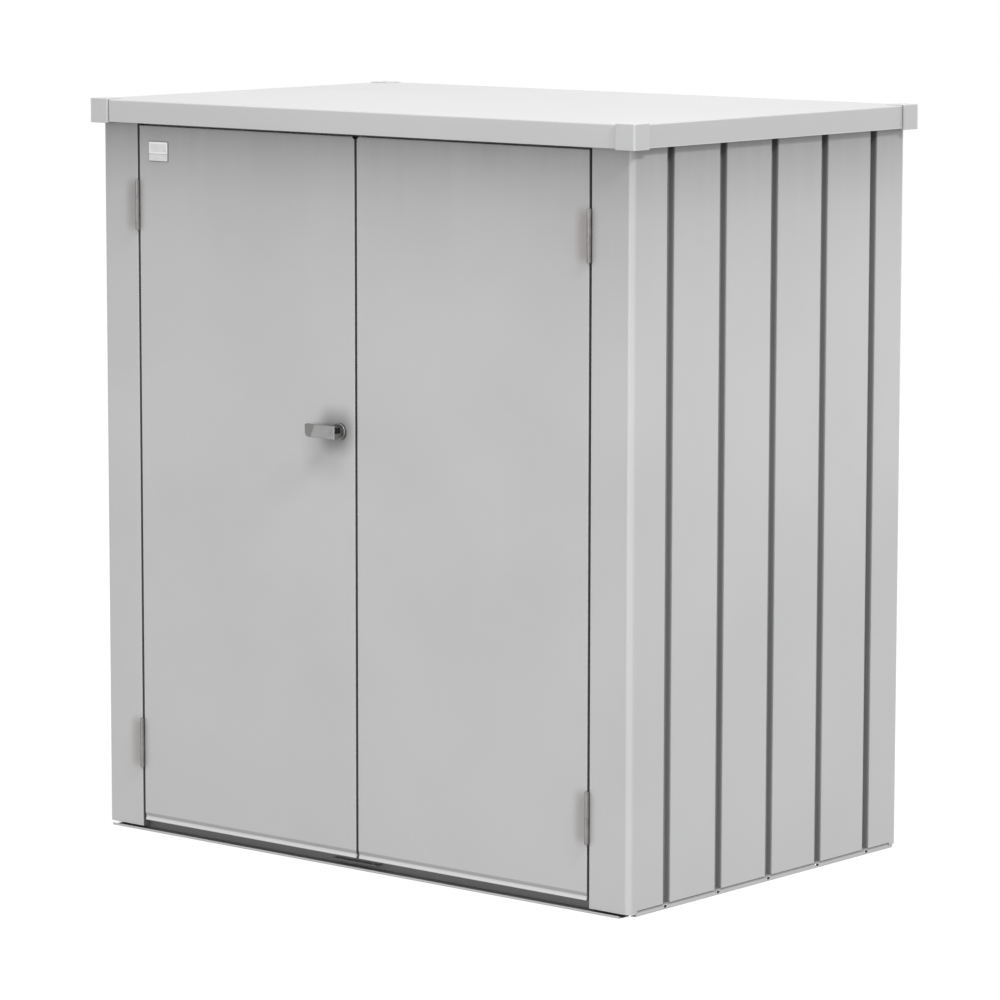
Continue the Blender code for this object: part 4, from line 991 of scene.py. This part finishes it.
def rivet_rows():
    """Rows of fixings, each (node, the way in to its surface, where each search for it starts)."""
    front, rear, top, foot = (0, 1, 0), (0, -1, 0), (0, 0, -1), (0, 0, 1)
    rows = []
    for side, way in (("left", -1), ("right", 1)):
        across, _, along = corners_of(f"door_{side}_stiffener", rivet_margin)
        rows.append((f"door_{side}_stiffener", rear,
                     [(x, 0, z) for x in across for z in spread(stiffener_rivet_count, *along)]))
        _, across, along = corners_of(f"strut_foot_bracket_{side}", rivet_margin)
        rows.append((f"strut_foot_bracket_{side}", (way, 0, 0), [(0, y, z) for y in across for z in along]))
    for level in levels:
        across, _, along = corners_of(f"bolt_housing_{level}", rivet_head_radius)
        rows.append((f"bolt_housing_{level}", rear, [(x, 0, z) for x in across for z in along]))
    for end in ends:
        (left, right), across, _ = corners_of(f"lid_stiffener_{end}", rivet_margin)
        along = spread(roof_rivet_count, left + lid_rivet_margin, right - lid_rivet_margin)
        rows.append((f"lid_stiffener_{end}", foot, [(x, y, 0) for y in across for x in along]))
    across, _, along = corners_of("lock_case", rivet_margin)
    rows.append(("lock_case", rear, [(x, 0, z) for x in across for z in along]))
    along, _, (low, _) = corners_of("lid_hinge_wall_leaf", rivet_margin)
    rows.append(("lid_hinge_wall_leaf", rear, [(x, 1, low) for x in spread(hinge_rivet_count, *along)]))
    along, _, (_, high) = corners_of("lid_hinge_lid_leaf", rivet_margin)
    rows.append(("lid_hinge_lid_leaf", front, [(x, 0, high) for x in spread(hinge_rivet_count, *along)]))
    along, across, _ = corners_of("floor_plate", rivet_margin)
    along = spread(floor_rivet_count, *along)
    rows.append(("floor_plate", top, [(x, y, 1) for y in across for x in along]))
    _, along, _ = corners_of("shelf", shelf_screw_margin)
    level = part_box("shelf")[1].z - shelf_screw_drop
    for way in (-1, 1):
        rows.append(("shelf", (way, 0, 0), [(0, y, level) for y in spread(shelf_screw_count, *along)]))
    return rows


def place_rivets():
    """Rivets and screws that hold the stiffeners, lock, bolts, brackets, lid hinge, floor and shelf."""
    model = screw_model("rivet", rivet_head_radius, rivet_head_height)
    placed = {}
    for node, way, starts in rivet_rows():
        way = Vector(way)
        places = [(surface_point(node, start, way) - way * fixing_gap, -way) for start in starts]
        placed.setdefault(node, []).extend(places)
    for node, places in placed.items():
        finish = "hinge_steel" if "hinge" in node else "zinc"
        fixings(f"rivets_{node}", model, places, finish, body_of[node])
    bpy.data.objects.remove(model)


def groove_centres(node, axis):
    """Centres of a wall's grooves along it, found from the node's deepest points."""
    low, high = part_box(node)
    across = 1 - axis
    floor = low[across] if high[across] > 0 else high[across]
    spots = sorted({round(v.co[axis], 4) for v in nodes[node].data.vertices
                    if abs(v.co[across] - floor) < groove_floor_tolerance})
    groups = [[spots[0]]]
    for spot in spots[1:]:
        if spot - groups[-1][-1] < groove_reach:
            groups[-1].append(spot)
        else:
            groups.append([spot])
    return [(group[0] + group[-1]) / 2 for group in groups]


def back_lanes():
    wide = groove_centres("back_panel_wide", 0)
    narrow = groove_centres("back_panel_narrow", 0)
    return sorted(wide + [x for x in narrow if all(abs(x - other) > groove_reach for other in wide)])


# Lever, rosette, key and badge

def add_material(piece, finish, wanted):
    """Give the faces that pass a test of their middle and normal a further finish."""
    piece.data.materials.append(finishes[finish])
    index = len(piece.data.materials) - 1
    for face in piece.data.polygons:
        if wanted(face.center, face.normal):
            face.material_index = index


def build_handle():
    """A flat lever on a square neck, with a stepped thumb zone and a cut corner at its free end."""
    low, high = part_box("handle_lever")
    axis = joint_place["lever_turn"]
    slab_back = low.y + lever_slab_depth
    zone_x = low.x + (high.x - low.x) * lever_zone_share
    lever = start_box("lever_grip", low, (high.x, slab_back, high.z))
    round_edges(lever, lever_cut_corner, lever_cut_segments,
                lambda a, b: max(a.x, b.x) < low.x + lever_round and max(a.z, b.z) < low.z + lever_round)
    round_sharp_edges(lever, lever_round, lever_round_segments)

    def in_zone(middle, margin):
        return middle.x + (axis.z - middle.z) * lever_zone_lean < zone_x - margin

    start_edit(lever, "EDGE", "SELECT")
    bpy.ops.mesh.bisect(plane_co=(zone_x, low.y, axis.z), plane_no=(1, 0, -lever_zone_lean))
    bpy.ops.object.mode_set(mode="OBJECT")
    pick_faces(lever, lambda middle, normal: normal.y < -squarely and in_zone(middle, 0))
    bpy.ops.mesh.inset(thickness=lever_zone_step)
    bpy.ops.transform.translate(value=(0, lever_zone_step, 0))
    finish_edit()

    neck = start_box("lever_neck",
                     (axis.x - lever_neck_half, slab_back - lever_round, axis.z - lever_neck_half),
                     (high.x, high.y, axis.z + lever_neck_half))
    round_edges(neck, lever_neck_round, round_segments, lambda a, b: abs(a.y - b.y) > lever_neck_half)

    recess_low = Vector((high.x - recess_depth, low.y + recess_rim,
                         low.z + (high.z - low.z) * recess_low_share))
    recess_high = Vector((high.x + recess_depth, high.y - recess_back_margin, high.z - recess_rim))
    for piece in (lever, neck):
        carve(piece, start_box("recess_cutter", recess_low, recess_high))
    carve(lever, start_rod("key_socket_cutter", key_radius + fixing_gap,
                           (axis.x, low.y - key_radius, axis.z),
                           (axis.x, low.y + key_slot_depth * 2, axis.z), bore_sides))
    smooth(lever)
    smooth(neck)
    grip = dress(joined("lever_grip", [lever, neck]), "lever_nickel", "lever", ("handle_lever",))
    # The thumb zone takes a darker copy of the nickel, as painted shade
    add_material(grip, "lever_zone_shade",
                 lambda middle, normal: normal.y < -partly and in_zone(middle, lever_zone_step))
    # The recess in the lever's end is lined near black, as painted shade
    recess_high.x = high.x - 2 * fixing_gap
    add_material(grip, "painted_hole_shade", lambda middle, normal: all(
        recess_low[axis] - fixing_gap < middle[axis] < recess_high[axis] + fixing_gap for axis in range(3)))


def carve(piece, cutter):
    """Cut one piece out of another and drop the cutter."""
    choose(piece)
    boolean = piece.modifiers.new("cut", "BOOLEAN")
    boolean.operation = "DIFFERENCE"
    boolean.solver = "EXACT"
    boolean.object = cutter
    bpy.ops.object.modifier_apply(modifier=boolean.name)
    bpy.data.objects.remove(cutter)


def build_key():
    """The lock's cylinder in the lever's hub, with a ring round its face and a slot for the key."""
    axis = joint_place["key_turn"]
    low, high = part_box("key_plug")
    plug = start_rod("key_cylinder", key_radius, (axis.x, high.y, axis.z), (axis.x, low.y, axis.z),
                     bore_sides)
    pick_faces(plug, lambda middle, normal: normal.y < -squarely)
    sink(key_ring_width, (0, key_ring_step, 0))
    finish_edit()
    half_width, half_length = key_slot_width / 2, key_slot_length / 2
    carve(plug, start_box("key_slot_cutter",
                          (axis.x - half_width, low.y - key_radius, axis.z - half_length),
                          (axis.x + half_width, low.y + key_slot_depth, axis.z + half_length)))
    dress(smooth(plug), "lever_nickel", "key", ("key_plug",))


def build_rosette():
    low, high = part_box("handle_rosette")
    axis = joint_place["lever_turn"]
    radius = (high.x - low.x) / 2
    disc = start_rod("lever_rosette", radius, (axis.x, high.y, axis.z), (axis.x, low.y, axis.z),
                     rosette_sides)
    round_edges(disc, rosette_round, round_segments,
                lambda a, b: max(a.y, b.y) < (low.y + high.y) / 2)
    carve(disc, start_rod("rosette_bore_cutter", rosette_bore_radius,
                          (axis.x, low.y - radius, axis.z),
                          (axis.x, high.y + radius, axis.z), bore_sides))
    dress(smooth(disc), "rosette_steel", "door_left", ("handle_rosette",))


def build_badge():
    """A bare two-tier plate: a raised rim round its upper field, and a plain lower strip."""
    low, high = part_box("badge_plate")
    plate = start_box("badge_plate_bare", low, high)
    line_z = low.z + (high.z - low.z) * badge_line_share
    for level in (line_z - badge_line_width / 2, line_z + badge_line_width / 2):
        start_edit(plate, "EDGE", "SELECT")
        bpy.ops.mesh.bisect(plane_co=(0, 0, level), plane_no=(0, 0, 1))
        bpy.ops.object.mode_set(mode="OBJECT")

    def in_line(middle, normal):
        return normal.y < -mostly and abs(middle.z - line_z) < badge_line_width / 2

    pick_faces(plate, in_line)
    bpy.ops.mesh.extrude_region_move(TRANSFORM_OT_translate={"value": (0, badge_step * 2, 0)})
    bpy.ops.object.mode_set(mode="OBJECT")
    pick_faces(plate, lambda middle, normal: normal.y < -mostly and middle.z > line_z + badge_line_width)
    sink(badge_rim, (0, badge_step, 0))
    finish_edit()
    round_edges(plate, badge_round, badge_round_segments,
                lambda a, b: abs(a.y - b.y) > (high.y - low.y) / 2 and on_corner(a, low, high))
    dress(smooth(plate), "badge_metal", "door_left", ("badge_plate",))
    add_material(plate, "badge_field", lambda middle, normal: normal.y < -mostly
                 and (middle.y > low.y + badge_step / 2 or middle.z < line_z - badge_line_width / 2))
    add_material(plate, "badge_line", in_line)


def on_corner(point, low, high):
    near_x = min(abs(point.x - low.x), abs(point.x - high.x)) < badge_step
    near_z = min(abs(point.z - low.z), abs(point.z - high.z)) < badge_step
    return near_x and near_z


# Studio and camera

def aim(piece, place, target):
    piece.location = place
    piece.rotation_euler = (Vector(target) - Vector(place)).to_track_quat("-Z", "Y").to_euler()


def add_camera():
    data = bpy.data.cameras.new("camera")
    camera = put_in_scene("camera", data)
    aim(camera, camera_place, camera_target)
    data.lens = camera_lens
    data.shift_x = camera_shift_x
    data.shift_y = camera_shift_y
    bpy.context.scene.camera = camera


def add_lights():
    """A high softbox that grazes the doors from the right, and softer ones before, over and behind."""
    for name, place, target, (width, height), power in softboxes:
        data = bpy.data.lights.new(name, "AREA")
        data.shape = "RECTANGLE"
        data.size = width
        data.size_y = height
        data.energy = power
        aim(put_in_scene(name, data), place, target)


def seen_plainly(tree):
    """1 for rays from the camera or by way of a reflection or a glass, else 0."""
    path = tree.nodes.new("ShaderNodeLightPath")
    direct = arithmetic(tree, "MAXIMUM", path.outputs["Is Camera Ray"], path.outputs["Is Glossy Ray"])
    return arithmetic(tree, "MAXIMUM", direct, path.outputs["Is Transmission Ray"])


def add_world():
    world = bpy.data.worlds.new("studio")
    world.use_nodes = True
    bpy.context.scene.world = world
    tree = world.node_tree
    background = tree.nodes["Background"]
    background.inputs["Color"].default_value = (1, 1, 1, 1)
    strength = map_range(tree, seen_plainly(tree), 0.0, 1.0, sky_strength, 1.0)
    tree.links.new(strength, background.inputs["Strength"])


def add_floor():
    deselect()
    bpy.ops.mesh.primitive_plane_add(size=floor_size, location=(0, 0, floor_level))
    floor = bpy.context.object
    floor.name = "studio_floor"
    material = bpy.data.materials.new("studio_floor")
    material.use_nodes = True
    tree = material.node_tree
    shader = tree.nodes["Principled BSDF"]
    shader.inputs["Base Color"].default_value = (floor_albedo, floor_albedo, floor_albedo, 1)
    shader.inputs["Roughness"].default_value = floor_roughness
    shader.inputs["Specular IOR Level"].default_value = 0.0
    shader.inputs["Emission Color"].default_value = (1, 1, 1, 1)
    glow = map_range(tree, seen_plainly(tree), 0.0, 1.0, floor_lift, floor_glow)
    tree.links.new(glow, shader.inputs["Emission Strength"])
    floor.data.materials.append(material)


finish_surfaces()
place_hinge_screws()
place_hinge_caps()
place_base_screws()
place_rivets()
build_handle()
build_key()
build_rosette()
build_badge()
add_floor()
add_world()
add_lights()
add_camera()
bpy.context.scene.view_settings.view_transform = "Standard"
